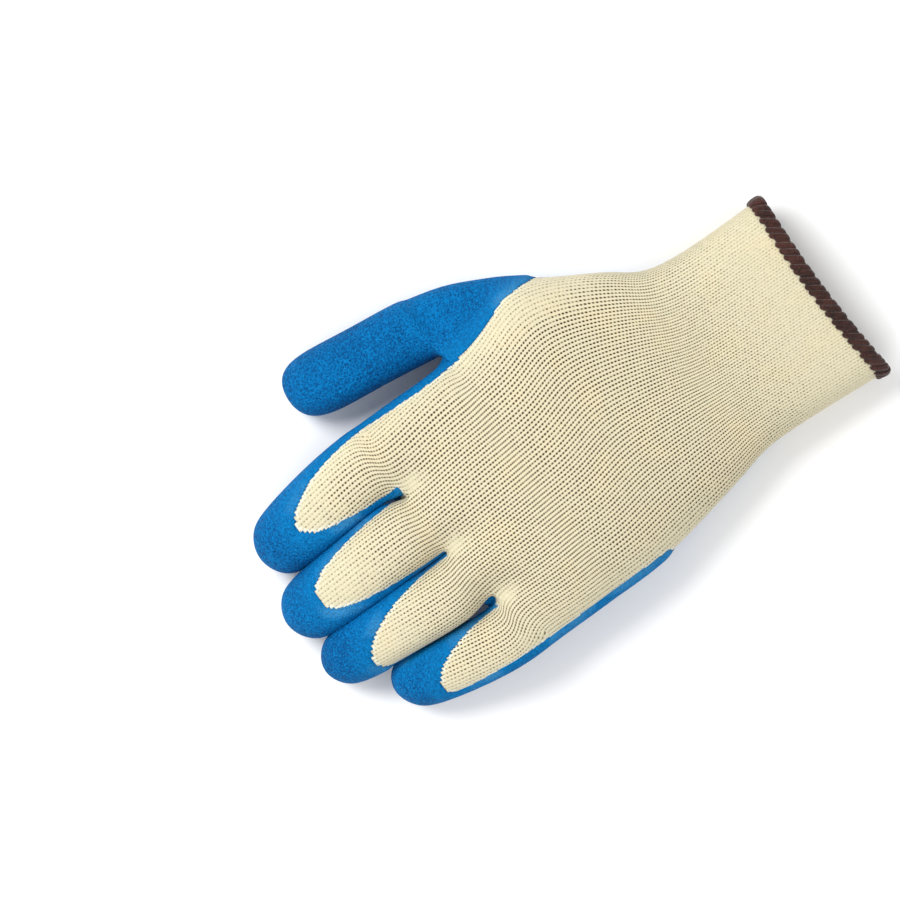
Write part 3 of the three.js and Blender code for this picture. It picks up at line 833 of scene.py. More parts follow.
@dataclass
class GloveForm:
    """The whole hand as one smooth net, which the knit, the latex and the hem are made from.

    Attributes:
        shape: The hand's sizes.
        course_pitch: The height of one stitch, in millimetres.
        back_wales: Wales between two lines of the net on the back and the palm.
        side_wales: Wales between two lines of the net on the sides.
        fineness: How often each face of the net is halved.
        fit_rounds: Rounds that bring the smooth surface to the drawn places.
    """

    shape: HandShape
    course_pitch: float = 1.28
    back_wales: int = 8
    side_wales: int = 6
    fineness: int = 3
    fit_rounds: int = 8

    def _wales(self, side_steps: int) -> list[float]:
        """The wale at each corner of a ring, with the one where it closes.

        Args:
            side_steps: Steps round the thumb's side.

        Returns:
            The wales, in the order of a hand's ring.
        """
        shape, wales = self.shape, [0.0]
        for steps, each in (
            (shape.back_steps, self.back_wales),
            (side_steps, self.side_wales),
            (shape.back_steps, self.back_wales),
            (2, self.side_wales),
        ):
            for _ in range(steps):
                wales.append(wales[-1] + each)
        return wales

    def build(self) -> bpy.types.Object:
        """Makes the hand's net by extruding its rings, and smooths it.

        Returns:
            The form, open at the cuff.
        """
        shape = self.shape
        rings = [[placed(corner) for corner in shape.hand_ring(row)] for row in HAND_ROWS]
        net = Net("hand_form", rings[0])
        wales = self._wales(shape.thumb_steps)
        course = [shape.along(row.at) / self.course_pitch for row in HAND_ROWS]
        ring = list(range(len(rings[0])))
        for i in range(1, len(rings)):
            ring = net.extrude(ring, rings[i], (wales, wales), (course[i - 1], course[i]))

        count = shape.back_steps + 1
        sides = shape.thumb_steps - 1
        back, side = ring[:count], ring[count : count + sides]
        under, little = ring[count + sides : -1], ring[-1]
        place = Vector(
            (
                shape.right + shape.web_reach,
                shape.thumb_crotch,
                shape.rest + shape.palm_thickness * shape.web_height,
            )
        )
        web = net.link(back[-1], under[0], placed(place))
        self._thumb(net, [back[-1], *side, under[0], web], course[-1])
        self._knuckles(net, [*back, web, *under, little])

        form = net.finish()
        self._fit(form)
        apply_modifier(form, "SUBSURF", levels=self.fineness, render_levels=self.fineness)
        shade_smooth(form)
        return form

    def _thumb(self, net: Net, ring: list[int], course: float) -> None:
        """Extrudes the thumb and closes its tip.

        Args:
            net: The net.
            ring: The corners round the thumb's root.
            course: The knit's course there.
        """
        wales = [float(self.side_wales * i) for i in range(len(ring) + 1)]
        for row, corners in zip(THUMB_ROWS, self.shape.thumb_rings()):
            y = self.shape.thumb_crotch + row.at * self.shape.thumb_length
            upper = y / self.course_pitch
            ring = net.extrude(ring, [placed(c) for c in corners], (wales, wales), (course, upper))
            course = upper
        net.close(ring, placed(self.shape.thumb_tip()))

    def _knuckles(self, net: Net, ring: list[int]) -> None:
        """Extrudes the knuckles, and the four fingers from them.

        Args:
            net: The net.
            ring: The corners round the hand above the thumb.
        """
        shape = self.shape
        wales = self._wales(2)
        course = shape.thumb_crotch / self.course_pitch
        corners: list[Vector] = []
        for row in KNUCKLE_ROWS:
            corners = shape.knuckle_ring(row)
            upper = shape.along(Mark.THUMB + row.at) / self.course_pitch
            ring = net.extrude(ring, [placed(c) for c in corners], (wales, wales), (course, upper))
            course = upper
        count = shape.back_steps + 1
        back, index = ring[:count], ring[count]
        under, little = ring[-2:count:-1], ring[-1]
        webs = [little]
        for i in range(2, shape.back_steps, 2):
            p, q = corners[i], corners[len(corners) - 2 - i]
            place = Vector((p.x, (p.y + q.y) / 2, (p.z + q.z) / 2))
            webs.append(net.link(back[i], under[i], placed(place)))
        webs.append(index)
        for f in range(len(FINGERS)):
            a, b, c = 2 * f, 2 * f + 1, 2 * f + 2
            root = [under[b], under[a], webs[f], back[a], back[b], back[c], webs[f + 1], under[c]]
            self._finger(net, f, root, course)

    def _finger(self, net: Net, f: int, ring: list[int], course: float) -> None:
        """Extrudes a finger from its root and closes its tip.

        Args:
            net: The net.
            f: The finger.
            ring: The corners round its root, from the middle of its underside.
            course: The knit's course there.
        """
        middle = self.back_wales * (2 * f + 1)
        root, tube = ([middle + wale for wale in wales] for wales in (ROOT_WALES, TUBE_WALES))
        lower, start = root, self.shape.crotch
        for row, corners in zip(FINGER_ROWS, self.shape.finger_rings(f)):
            turned = [placed(c) for c in (*corners[5:], *corners[:5])]
            upper = (start + row.at * FINGERS[f].length) / self.course_pitch
            ring = net.extrude(ring, turned, (lower, tube), (course, upper))
            lower, course = tube, upper
        net.close([*ring[3:], *ring[:3]], placed(self.shape.finger_tip(f)))

    def _fit(self, form: bpy.types.Object) -> None:
        """Moves the net's corners until its smooth surface passes through the drawn places.

        Args:
            form: The net's object.
        """
        aims = [corner.co.copy() for corner in form.data.vertices]
        modifier = form.modifiers.new("fit", "SUBSURF")
        modifier.levels = modifier.render_levels = 1
        for _ in range(self.fit_rounds):
            bpy.context.view_layer.update()
            shown = form.evaluated_get(bpy.context.evaluated_depsgraph_get())
            reached = [corner.co.copy() for corner in shown.data.vertices[: len(aims)]]
            for corner, aim, there in zip(form.data.vertices, aims, reached):
                corner.co += aim - there
            form.data.update()
        form.modifiers.remove(modifier)


@dataclass
class CoatEdge:
    """Where the latex ends and the knit is bare.

    Attributes:
        shape: The hand's sizes.
        start: The coat's edge on the palm, from the cuff's edge, in millimetres.
        rise: How far that edge rises across the palm.
        finger_level: The coat's edge on the fingers, as a share of the little finger's thickness.
        little_end: The mark up to which the little finger's side is bare.
        little_start: The mark from which the coat comes round that side.
        little_wrap: How far it comes round.
        thumb_end: The mark below which the thumb's side is bare.
        slot_start: How far up from the crotches the coat starts between two tongues.
        steps: Points on each side of a tongue.
        tip_share: How near to a tongue's tip its last point lies.
        thumb_fall: How much of the rise is lost towards the thumb's side.
        little_fall: How much of it is lost towards the little finger's side.
        beyond: How far the outline runs past the glove.
    """

    shape: HandShape
    start: float = 37.0
    rise: float = 6.0
    finger_level: float = 0.4
    little_end: float = 1.55
    little_start: float = 1.7
    little_wrap: float = 2.2
    thumb_end: float = 1.25
    slot_start: float = 2.0
    steps: int = 12
    tip_share: float = 0.9999
    thumb_fall: float = 1.5
    little_fall: float = 0.5
    beyond: float = 20.0
    outline: list[tuple[float, float]] = field(init=False)

    def __post_init__(self) -> None:
        """Works out the outline of the bare knit, seen from above."""
        shape = self.shape
        left, right = shape.left - self.beyond, shape.right + shape.thumb_reach + self.beyond
        self.outline = [(left, -self.beyond), (left, shape.along(self.little_end))]
        self.outline.append((shape.left + self.little_wrap, shape.along(self.little_start)))
        for f in range(len(FINGERS)):
            self.outline += self._tongue(f)
        for row in reversed(THUMB_SIDE_EDGE):
            self.outline.append((shape.right + row.out * shape.thumb_reach, shape.along(row.at)))
        self.outline += [(right, shape.along(self.thumb_end)), (right, -self.beyond)]

    def _tongue(self, f: int) -> list[tuple[float, float]]:
        """The edge of a finger's tongue of bare knit, seen from above.

        Args:
            f: The finger.

        Returns:
            Its points, up one side and down the other.
        """
        shape, finger, tongue = self.shape, FINGERS[f], TONGUES[f]

        def point(sign: int, share: float) -> tuple[float, float]:
            """A point on one side of the tongue.

            Args:
                sign: The side, -1 towards the little finger and 1 towards the thumb.
                share: How far up the tongue, from 0 to 1.

            Returns:
                The point, seen from above.
            """
            rise = math.sin(share * math.pi / 2)
            y = shape.crotch - finger.back + finger.length * tongue.length * rise
            half = tongue.half - (tongue.inset if sign < 0 else 0)
            reach = sign * half * math.cos(share * math.pi / 2) ** tongue.round
            x = shape.finger_centre(f, y) + finger.width * (reach - tongue.lean * rise**3)
            beside = f + sign
            if 0 <= beside < len(FINGERS):
                y = max(y, shape.crotch - (finger.back + FINGERS[beside].back) / 2 + self.slot_start)
            return x, y

        shares = [i / self.steps for i in range(self.steps)]
        return [
            *(point(-1, share) for share in shares),
            point(1, self.tip_share),
            *(point(1, share) for share in reversed(shares)),
        ]

    def _level(self, y: float) -> float:
        """The height of the coat's edge along the sides.

        Args:
            y: The height of the glove, from the cuff's edge.

        Returns:
            How far over the table the edge runs.
        """
        shape = self.shape
        if y <= shape.thumb_crotch:
            beyond_wrist = (y - shape.cuff_length) / shape.heel_length
            mark = y / shape.cuff_length if beyond_wrist < 0 else 1 + beyond_wrist
            wrist = between(COAT_LEVELS, mark, "wrist") * shape.wrist_thickness
            return shape.rest + wrist + between(COAT_LEVELS, mark, "palm") * shape.palm_thickness
        finger = self.finger_level * FINGERS[Digit.LITTLE].thickness
        palm = shape.rest + COAT_LEVELS[-1].palm * shape.palm_thickness
        knuckle = shape.finger_top(Digit.LITTLE) - finger
        if y <= shape.crotch:
            return lerp(palm, knuckle, (y - shape.thumb_crotch) / shape.knuckle_length)
        reach = max(finger.length for finger in FINGERS) + self.beyond
        return lerp(knuckle, shape.rest + finger, (y - shape.crotch) / reach)

    def _inside(self, x: float, y: float) -> bool:
        """Whether a place seen from above lies within the outline."""
        inside = False
        for (ax, ay), (bx, by) in zip(self.outline, [*self.outline[1:], self.outline[0]]):
            if (ay > y) != (by > y) and x < ax + (bx - ax) * (y - ay) / (by - ay):
                inside = not inside
        return inside

    def bare(self, place: Vector) -> bool:
        """Whether the knit is bare at a drawn place.

        Args:
            place: The place, in millimetres.

        Returns:
            True where there is no latex.
        """
        half = self.shape.palm_width / 2 + self.shape.thumb_reach + self.beyond
        across = (place.x - self.shape.palm_shift) / half
        fall = self.thumb_fall if across > 0 else self.little_fall
        if place.y < self.start + self.rise * (1 - abs(across) * fall):
            return True
        return place.z > self._level(place.y) and self._inside(place.x, place.y)


class Wire:
    """A value in a material, on which sums are written as in arithmetic."""

    def __init__(self, graph: "Graph", socket: bpy.types.NodeSocket) -> None:
        """Wraps a node's output."""
        self.graph = graph
        self.socket = socket

    def _sum(self, operation: str, *others: "Wire | float") -> "Wire":
        """Adds a Math node."""
        return self.graph.add("ShaderNodeMath", {"operation": operation}, self, *others)

    def __add__(self, other: "Wire | float") -> "Wire":
        """The sum."""
        return self._sum("ADD", other)

    __radd__ = __add__

    def __mul__(self, other: "Wire | float") -> "Wire":
        """The product."""
        return self._sum("MULTIPLY", other)

    __rmul__ = __mul__

    def __sub__(self, other: "Wire | float") -> "Wire":
        """The difference."""
        return self._sum("SUBTRACT", other)

    def __rsub__(self, other: float) -> "Wire":
        """The difference from a number."""
        return self.graph.add("ShaderNodeMath", {"operation": "SUBTRACT"}, other, self)

    def __truediv__(self, other: "Wire | float") -> "Wire":
        """The quotient."""
        return self._sum("DIVIDE", other)

    def __pow__(self, other: "Wire | float") -> "Wire":
        """The power."""
        return self._sum("POWER", other)

    def __abs__(self) -> "Wire":
        """The size without its sign."""
        return self._sum("ABSOLUTE")

    def fraction(self) -> "Wire":
        """What is left over a whole number."""
        return self._sum("FRACT")

    def whole(self) -> "Wire":
        """The whole number below."""
        return self._sum("FLOOR")

    def sine(self) -> "Wire":
        """The sine."""
        return self._sum("SINE")

    def step(self, low: float, high: float) -> "Wire":
        """A soft step from 0 at low to 1 at high, which may lie below it.

        Args:
            low: Where the step starts.
            high: Where it ends.

        Returns:
            A value from 0 to 1.
        """
        settings = {"interpolation_type": "SMOOTHSTEP"}
        if high > low:
            return self.graph.add("ShaderNodeMapRange", settings, self, low, high, 0.0, 1.0)
        return self.graph.add("ShaderNodeMapRange", settings, self, high, low, 1.0, 0.0)


class Graph:
    """The nodes of one material."""

    def __init__(self, name: str) -> None:
        """Starts a material with its shader and output.

        Args:
            name: The material's name.
        """
        self.material = bpy.data.materials.new(name)
        self.material.use_nodes = True
        self.nodes = self.material.node_tree.nodes
        self.links = self.material.node_tree.links
        self.shader = self.nodes["Principled BSDF"]

    def join(self, value: "Wire | float | Sequence[float]", socket: bpy.types.NodeSocket) -> None:
        """Feeds a socket with a wire, or sets it to a number or colour."""
        if isinstance(value, Wire):
            self.links.new(value.socket, socket)
        else:
            socket.default_value = value

    def add(
        self,
        kind: str,
        settings: dict[str, object],
        *inputs: "Wire | float | Sequence[float]",
        output: str | int = 0,
        **named: "Wire | float | Sequence[float]",
    ) -> Wire:
        """Adds a node.

        Args:
            kind: The node's type.
            settings: Its properties, set before its sockets.
            *inputs: Values or wires for its first sockets.
            output: The output to return.
            **named: Values or wires by socket name, with _ for a space.

        Returns:
            The node's output.
        """
        node = self.nodes.new(kind)
        for name, value in settings.items():
            setattr(node, name, value)
        for value, socket in zip(inputs, node.inputs):
            self.join(value, socket)
        for name, value in named.items():
            self.join(value, node.inputs[name.replace("_", " ")])
        return Wire(self, node.outputs[output])

    def mix(self, share: "Wire | float", a: "Wire | Sequence[float]", b: "Wire | Sequence[float]") -> Wire:
        """A colour between two.

        Args:
            share: How much of the second colour.
            a: The first colour.
            b: The second colour.

        Returns:
            The colour.
        """
        node = self.nodes.new("ShaderNodeMix")
        node.data_type = "RGBA"
        for value, number in ((share, 0), (a, 6), (b, 7)):
            if not isinstance(value, Wire) and number:
                value = (*value, 1.0)
            self.join(value, node.inputs[number])
        return Wire(self, node.outputs[2])

    def noise(self, place: Wire, scale: float, detail: float = 2.0, rough: float = 0.5) -> Wire:
        """Soft noise, from 0 to 1."""
        return self.add("ShaderNodeTexNoise", {}, Vector=place, Scale=scale, Detail=detail, Roughness=rough)

    def place(self) -> Wire:
        """The place on the piece, in metres."""
        return self.add("ShaderNodeTexCoord", {}, output="Object")

    def attribute(self, name: str) -> Wire:
        """A value written on the mesh."""
        return self.add("ShaderNodeAttribute", {"attribute_name": name}, output="Fac")

    def bump(self, height: Wire, depth: float, strength: float = 1.0, below: Wire | None = None) -> Wire:
        """A bump.

        Args:
            height: The relief, from 0 to 1.
            depth: Its full height, in metres.
            strength: How much of it shows.
            below: A bump that this one lies on.

        Returns:
            The normal.
        """
        named = {"Strength": strength, "Distance": depth, "Height": height}
        if below:
            named["Normal"] = below
        return self.add("ShaderNodeBump", {}, **named)

    def finish(self, **sockets: "Wire | float | Sequence[float]") -> bpy.types.Material:
        """Feeds the shader and returns the material.

        Args:
            **sockets: Values or wires by socket name, with _ for a space.

        Returns:
            The material.
        """
        for name, value in sockets.items():
            self.join(value, self.shader.inputs[name.replace("_", " ")])
        return self.material


def colour(red: int, green: int, blue: int) -> Colour:
    """A colour given as it shows, as the shader's own values.

    Args:
        red: Its red, from 0 to 255.
        green: Its green.
        blue: Its blue.

    Returns:
        The values, from 0 to 1.
    """

    def linear(part: int) -> float:
        """One part of the colour, by the usual curve of screens."""
        share = part / 255
        return ((share + 0.055) / 1.055) ** 2.4 if part > 10 else share / 12.92

    return linear(red), linear(green), linear(blue)


@dataclass(frozen=True)
class KnitFinish:
    """Cream yarn, in ribs of stitches with dark holes between them; the holes and the grooves between the
    ribs are painted shade.
    """

    rib: Colour = colour(212, 204, 175)
    # Painted shade in the grooves between the ribs.
    groove: Colour = colour(198, 188, 157)
    warm: Colour = colour(218, 203, 166)
    grain: Colour = colour(176, 171, 136)
    # Painted shade seen in the holes between the wales.
    hole: Colour = colour(66, 46, 26)
    fringe: Colour = colour(232, 234, 220)

    def material(self) -> bpy.types.Material:
        """Builds the finish.

        Returns:
            The material.
        """
        graph = Graph("cream_knit")
        weave = graph.add("ShaderNodeUVMap", {"uv_map": "Weave"})
        wale = graph.add("ShaderNodeSeparateXYZ", {}, weave, output="X")
        course = Wire(graph, wale.socket.node.outputs["Y"])
        place = graph.place()
        # How strong the painted shade in the knit's holes is, read from the mesh.
        flecks = graph.attribute("flecks")
        edge = graph.attribute("edge")

        number = (wale + 0.5).whole()
        across = abs((wale + 0.5).fraction() - 0.5) * 2.0
        row = course + (number * 0.5).fraction()
        along = abs(row.fraction() - 0.5) * 2.0
        cell = graph.add("ShaderNodeCombineXYZ", {}, number, row.whole(), 0.0)
        chance = graph.add("ShaderNodeTexWhiteNoise", {"noise_dimensions": "3D"}, cell)

        # Painted shade: dark spots in the holes between the wales, larger where the knit lies more open.
        reach = (across / 0.5) ** 2.0 + (along / 0.68) ** 2.0
        opening = flecks * (chance * 0.5 + 0.6)
        hole = (reach / (opening * 0.7 + 0.35)).step(1.25, 0.5) * opening.step(0.05, 0.8)

        leg = (course + across * 0.45).fraction()
        stitch = 1.0 - abs(leg - 0.5) * 2.0
        rib = (across * (math.pi / 2)).sine()
        relief = rib * (stitch * 0.3 + 0.7)

        mottle = graph.noise(place, 55.0, 3.0)
        fibre = graph.noise(place, 1500.0, 3.0)
        # Painted shade in the grooves between the ribs, stronger where the knit lies open; the same relief
        # also feeds the bump.
        shown = 1.0 - (1.0 - relief) * (flecks * 0.75 + 0.25)
        cream = graph.mix(shown.step(0.05, 0.95), self.groove, self.rib)
        cream = graph.mix(mottle.step(0.45, 0.75) * 0.6, cream, self.warm)
        cream = graph.mix(edge.step(0.0014, 0.0004) * 0.7, cream, self.fringe)
        # Darker specks of grain colour where the fine fibre noise is low, scaled by the strength of the
        # hole shade.
        fibre_speckle = fibre.step(0.6, 0.35) * flecks.step(0.2, 0.38) * (0.45 - flecks * 0.25)
        cream = graph.mix(fibre_speckle, cream, self.grain)
        # Paints the shade in the holes.
        cream = graph.mix(hole, cream, self.hole)

        knit = graph.bump(shown - hole * 0.7, 0.00035, 0.7)
        normal = graph.bump(fibre, 0.00006, 0.5, knit)
        return graph.finish(
            Base_Color=cream, Roughness=0.92, Normal=normal, Sheen_Weight=0.15, Specular_IOR_Level=0.2
        )


@dataclass(frozen=True)
class LatexFinish:
    """Blue latex with a fine crinkle, painted shade in the crinkle's hollows, and tiny light specks."""

    deep: Colour = colour(0, 72, 128)
    light: Colour = colour(0, 116, 182)
    thin: Colour = colour(4, 122, 186)
    patch: Colour = colour(74, 142, 188)
    speck: Colour = colour(40, 140, 198)

    def material(self) -> bpy.types.Material:
        """Builds the finish.

        Returns:
            The material.
        """
        graph = Graph("blue_latex")
        place = graph.place()
        edge = graph.attribute("edge")
        grain = graph.noise(place, 1150.0, 2.0, 0.6)
        ridge = 1.0 - abs(graph.noise(place, 620.0, 2.0, 0.55) - 0.5) * 5.0
        cloud = graph.noise(place, 38.0, 3.0)
        # The blue follows the crinkle's relief: painted shade in its hollows and painted light on its
        # crests, over random cloudy mottling.
        tone = grain * 0.75 + cloud * 0.25
        blue = graph.mix(tone.step(0.36, 0.64), self.deep, self.light)
        blue = graph.mix(edge.step(0.012, 0.0) * 0.5, blue, self.thin)
        blue = graph.mix(edge.step(0.005, 0.001) * cloud.step(0.48, 0.62) * 0.45, blue, self.patch)
        speck = graph.noise(place, 1900.0, 1.0).step(0.66, 0.76) * 0.7
        blue = graph.mix(speck, blue, self.speck)
        relief = grain * 0.6 + ridge.step(0.0, 1.0) * 0.4
        normal = graph.bump(relief, 0.0009, 1.0)
        gloss = tone.step(0.2, 0.8) * 0.12 + 0.68
        return graph.finish(Base_Color=blue, Roughness=gloss, Normal=normal, Specular_IOR_Level=0.08)


@dataclass(frozen=True)
class ThreadFinish:
    """Dark brown overlock thread."""

    deep: Colour = colour(28, 13, 8)
    light: Colour = colour(78, 40, 32)

    def material(self) -> bpy.types.Material:
        """Builds the finish.

        Returns:
            The material.
        """
        graph = Graph("brown_thread")
        place = graph.place()
        fibre = graph.noise(place, 1700.0, 3.0)
        tone = fibre * 0.7 + graph.noise(place, 160.0) * 0.3
        brown = graph.mix(tone.step(0.35, 0.7), self.deep, self.light)
        normal = graph.bump(fibre, 0.0002, 0.8)
        return graph.finish(
            Base_Color=brown, Roughness=0.85, Normal=normal, Sheen_Weight=0.2, Specular_IOR_Level=0.25
        )


@dataclass(frozen=True)
class FloorFinish:
    """A matt white table."""

    white: Colour = (0.93, 0.93, 0.93)
    grey: Colour = (0.85, 0.85, 0.85)

    def material(self) -> bpy.types.Material:
        """Builds the finish."""
        graph = Graph("white_table")
        tone = graph.noise(graph.place(), 3.0)
        shade = graph.mix(tone * 0.02, self.white, self.grey)
        return graph.finish(Base_Color=shade, Roughness=0.9, Specular_IOR_Level=0.1)


def dress(thing: bpy.types.Object, material: bpy.types.Material, slot: str, *nodes: str) -> None:
    """Gives a piece its material and its place in the frame.

    Args:
        thing: The piece.
        material: Its finish.
        slot: The record's material slot; not used.
        *nodes: The nodes that it stands for.
    """
    thing.data.materials.clear()
    thing.data.materials.append(material)
    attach(thing, "root")
    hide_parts(*nodes)


@dataclass
class LatexCoat:
    """The latex over the palm, the thumb and the fingers.

    Attributes:
        edge: Where it ends.
        thin: Its height over the knit at its edge, in millimetres.
        thick: Its height over the knit away from the edge.
        fade: How far from the edge it becomes thick.
        wall: The skin's own thickness.
        rim: Places along its edge, once it is built.
    """

    edge: CoatEdge
    thin: float = 0.3
    thick: float = 1.2
    fade: float = 3.5
    wall: float = 0.25
    rim: list[Vector] = field(default_factory=list)

    def build(self, form: bpy.types.Object) -> bpy.types.Object:
        """Cuts the coat out of the hand's form and lifts it off the knit.

        Args:
            form: The smooth hand.

        Returns:
            The coat.
        """
        skin = copy_of(form, "latex_skin")
        bare = [self.edge.bare(drawn(corner.co)) for corner in skin.data.vertices]

        def on_edge(face: bmesh.types.BMFace) -> bool:
            """Whether the coat's edge runs through a face."""
            return len({bare[corner.index] for corner in face.verts}) > 1

        edit_faces(skin, on_edge)
        bpy.ops.mesh.select_more()
        bpy.ops.mesh.subdivide(number_cuts=1, ngon=False)
        leave_edit()
        edit_faces(skin, lambda face: self.edge.bare(drawn(face.calc_center_median())))
        bpy.ops.mesh.delete(type="FACE")
        leave_edit()
        self._lift(skin)
        apply_modifier(skin, "SOLIDIFY", thickness=self.wall * MM, offset=-1.0)
        shade_smooth(skin)
        dress(skin, LatexFinish().material(), "latex", "latex_coat")
        return skin

    def _lift(self, skin: bpy.types.Object) -> None:
        """Moves the skin off the knit, thinly at its edge, and flattens its underside.

        Args:
            skin: The coat.
        """
        net = bmesh.new()
        net.from_mesh(skin.data)
        self.rim = [corner.co.copy() for corner in net.verts if corner.is_boundary]
        net.free()
        tree = tree_of(self.rim)
        rest = self.edge.shape.rest
        far = []
        ways = [corner.normal.copy() for corner in skin.data.vertices]
        for corner, way in zip(skin.data.vertices, ways):
            away = tree.find(corner.co)[2]
            out = lerp(self.thin, self.thick, smooth(0, self.fade, away / MM))
            corner.co += way * out * MM
            corner.co.z = max(corner.co.z, (rest - out) * MM)
            far.append(away)
        write_attribute(skin, "edge", far)


@dataclass
class KnitGlove:
    """The knitted glove itself, with painted shade in the holes between its wales.

    Attributes:
        shape: The hand's sizes.
        wall: The knit's thickness, in millimetres.
        cuff_flecks: How dark the holes are near the cuff's edge, as a share of those on the back.
        tip_flecks: The same at the fingertips.
        side_flecks: The same on the hand's sides.
        crotch_flecks: The same behind the crotches.
    """

    shape: HandShape
    wall: float = 1.6
    # How strong the painted shade in the holes is, as shares of that on the back.
    cuff_flecks: float = 0.38
    tip_flecks: float = 0.4
    side_flecks: float = 0.45
    crotch_flecks: float = 0.24

    def _flecks(self, place: Vector) -> float:
        """How strong the painted shade in the holes between the wales is at a drawn place.

        Args:
            place: The place, in millimetres.

        Returns:
            A value from 0 to 1.
        """
        shape = self.shape
        up = place.y
        strength = lerp(self.cuff_flecks, 1.0, smooth(10, 75, up))
        strength *= lerp(1.0, self.tip_flecks, smooth(shape.crotch, shape.crotch + 45, up))
        across = (place.x - shape.palm_shift) / (shape.palm_width / 2)
        strength *= lerp(1.0, self.side_flecks, smooth(0.72, 1.0, abs(across)))
        for f in (Digit.LITTLE, Digit.RING, Digit.MIDDLE):
            gap = (shape.finger_centre(f, shape.crotch) + shape.finger_centre(f + 1, shape.crotch)) / 2
            behind = shape.crotch - (FINGERS[f].back + FINGERS[f + 1].back) / 2
            away = math.hypot(place.x - gap, (up - behind + 3) / 1.3)
            strength *= lerp(self.crotch_flecks, 1.0, smooth(0, 7, away))
        return strength

    def build(self, form: bpy.types.Object, rim: Sequence[Vector]) -> bpy.types.Object:
        """Gives the hand's form the knit's wall.

        Args:
            form: The smooth hand.
            rim: Places along the latex coat's edge.

        Returns:
            The knitted glove.
        """
        glove = copy_of(form, "knit_glove")
        tree = tree_of(rim)
        floor = self.shape.rest * MM
        for corner in glove.data.vertices:
            corner.co.z = max(corner.co.z, floor)
        write_attribute(glove, "edge", [tree.find(corner.co)[2] for corner in glove.data.vertices])
        # How strong the painted shade in the knit's holes is at each corner.
        write_attribute(glove, "flecks", [self._flecks(drawn(corner.co)) for corner in glove.data.vertices])
        apply_modifier(glove, "SOLIDIFY", thickness=self.wall * MM, offset=-1.0)
        shade_smooth(glove)
        dress(glove, KnitFinish().material(), "knit", "knit_liner")
        return glove


@dataclass
class RimPoint:
    """A place on the cuff's edge, with the ways out of the knit, up the glove and along the edge."""

    place: Vector
    out: Vector
    up: Vector
    along: Vector


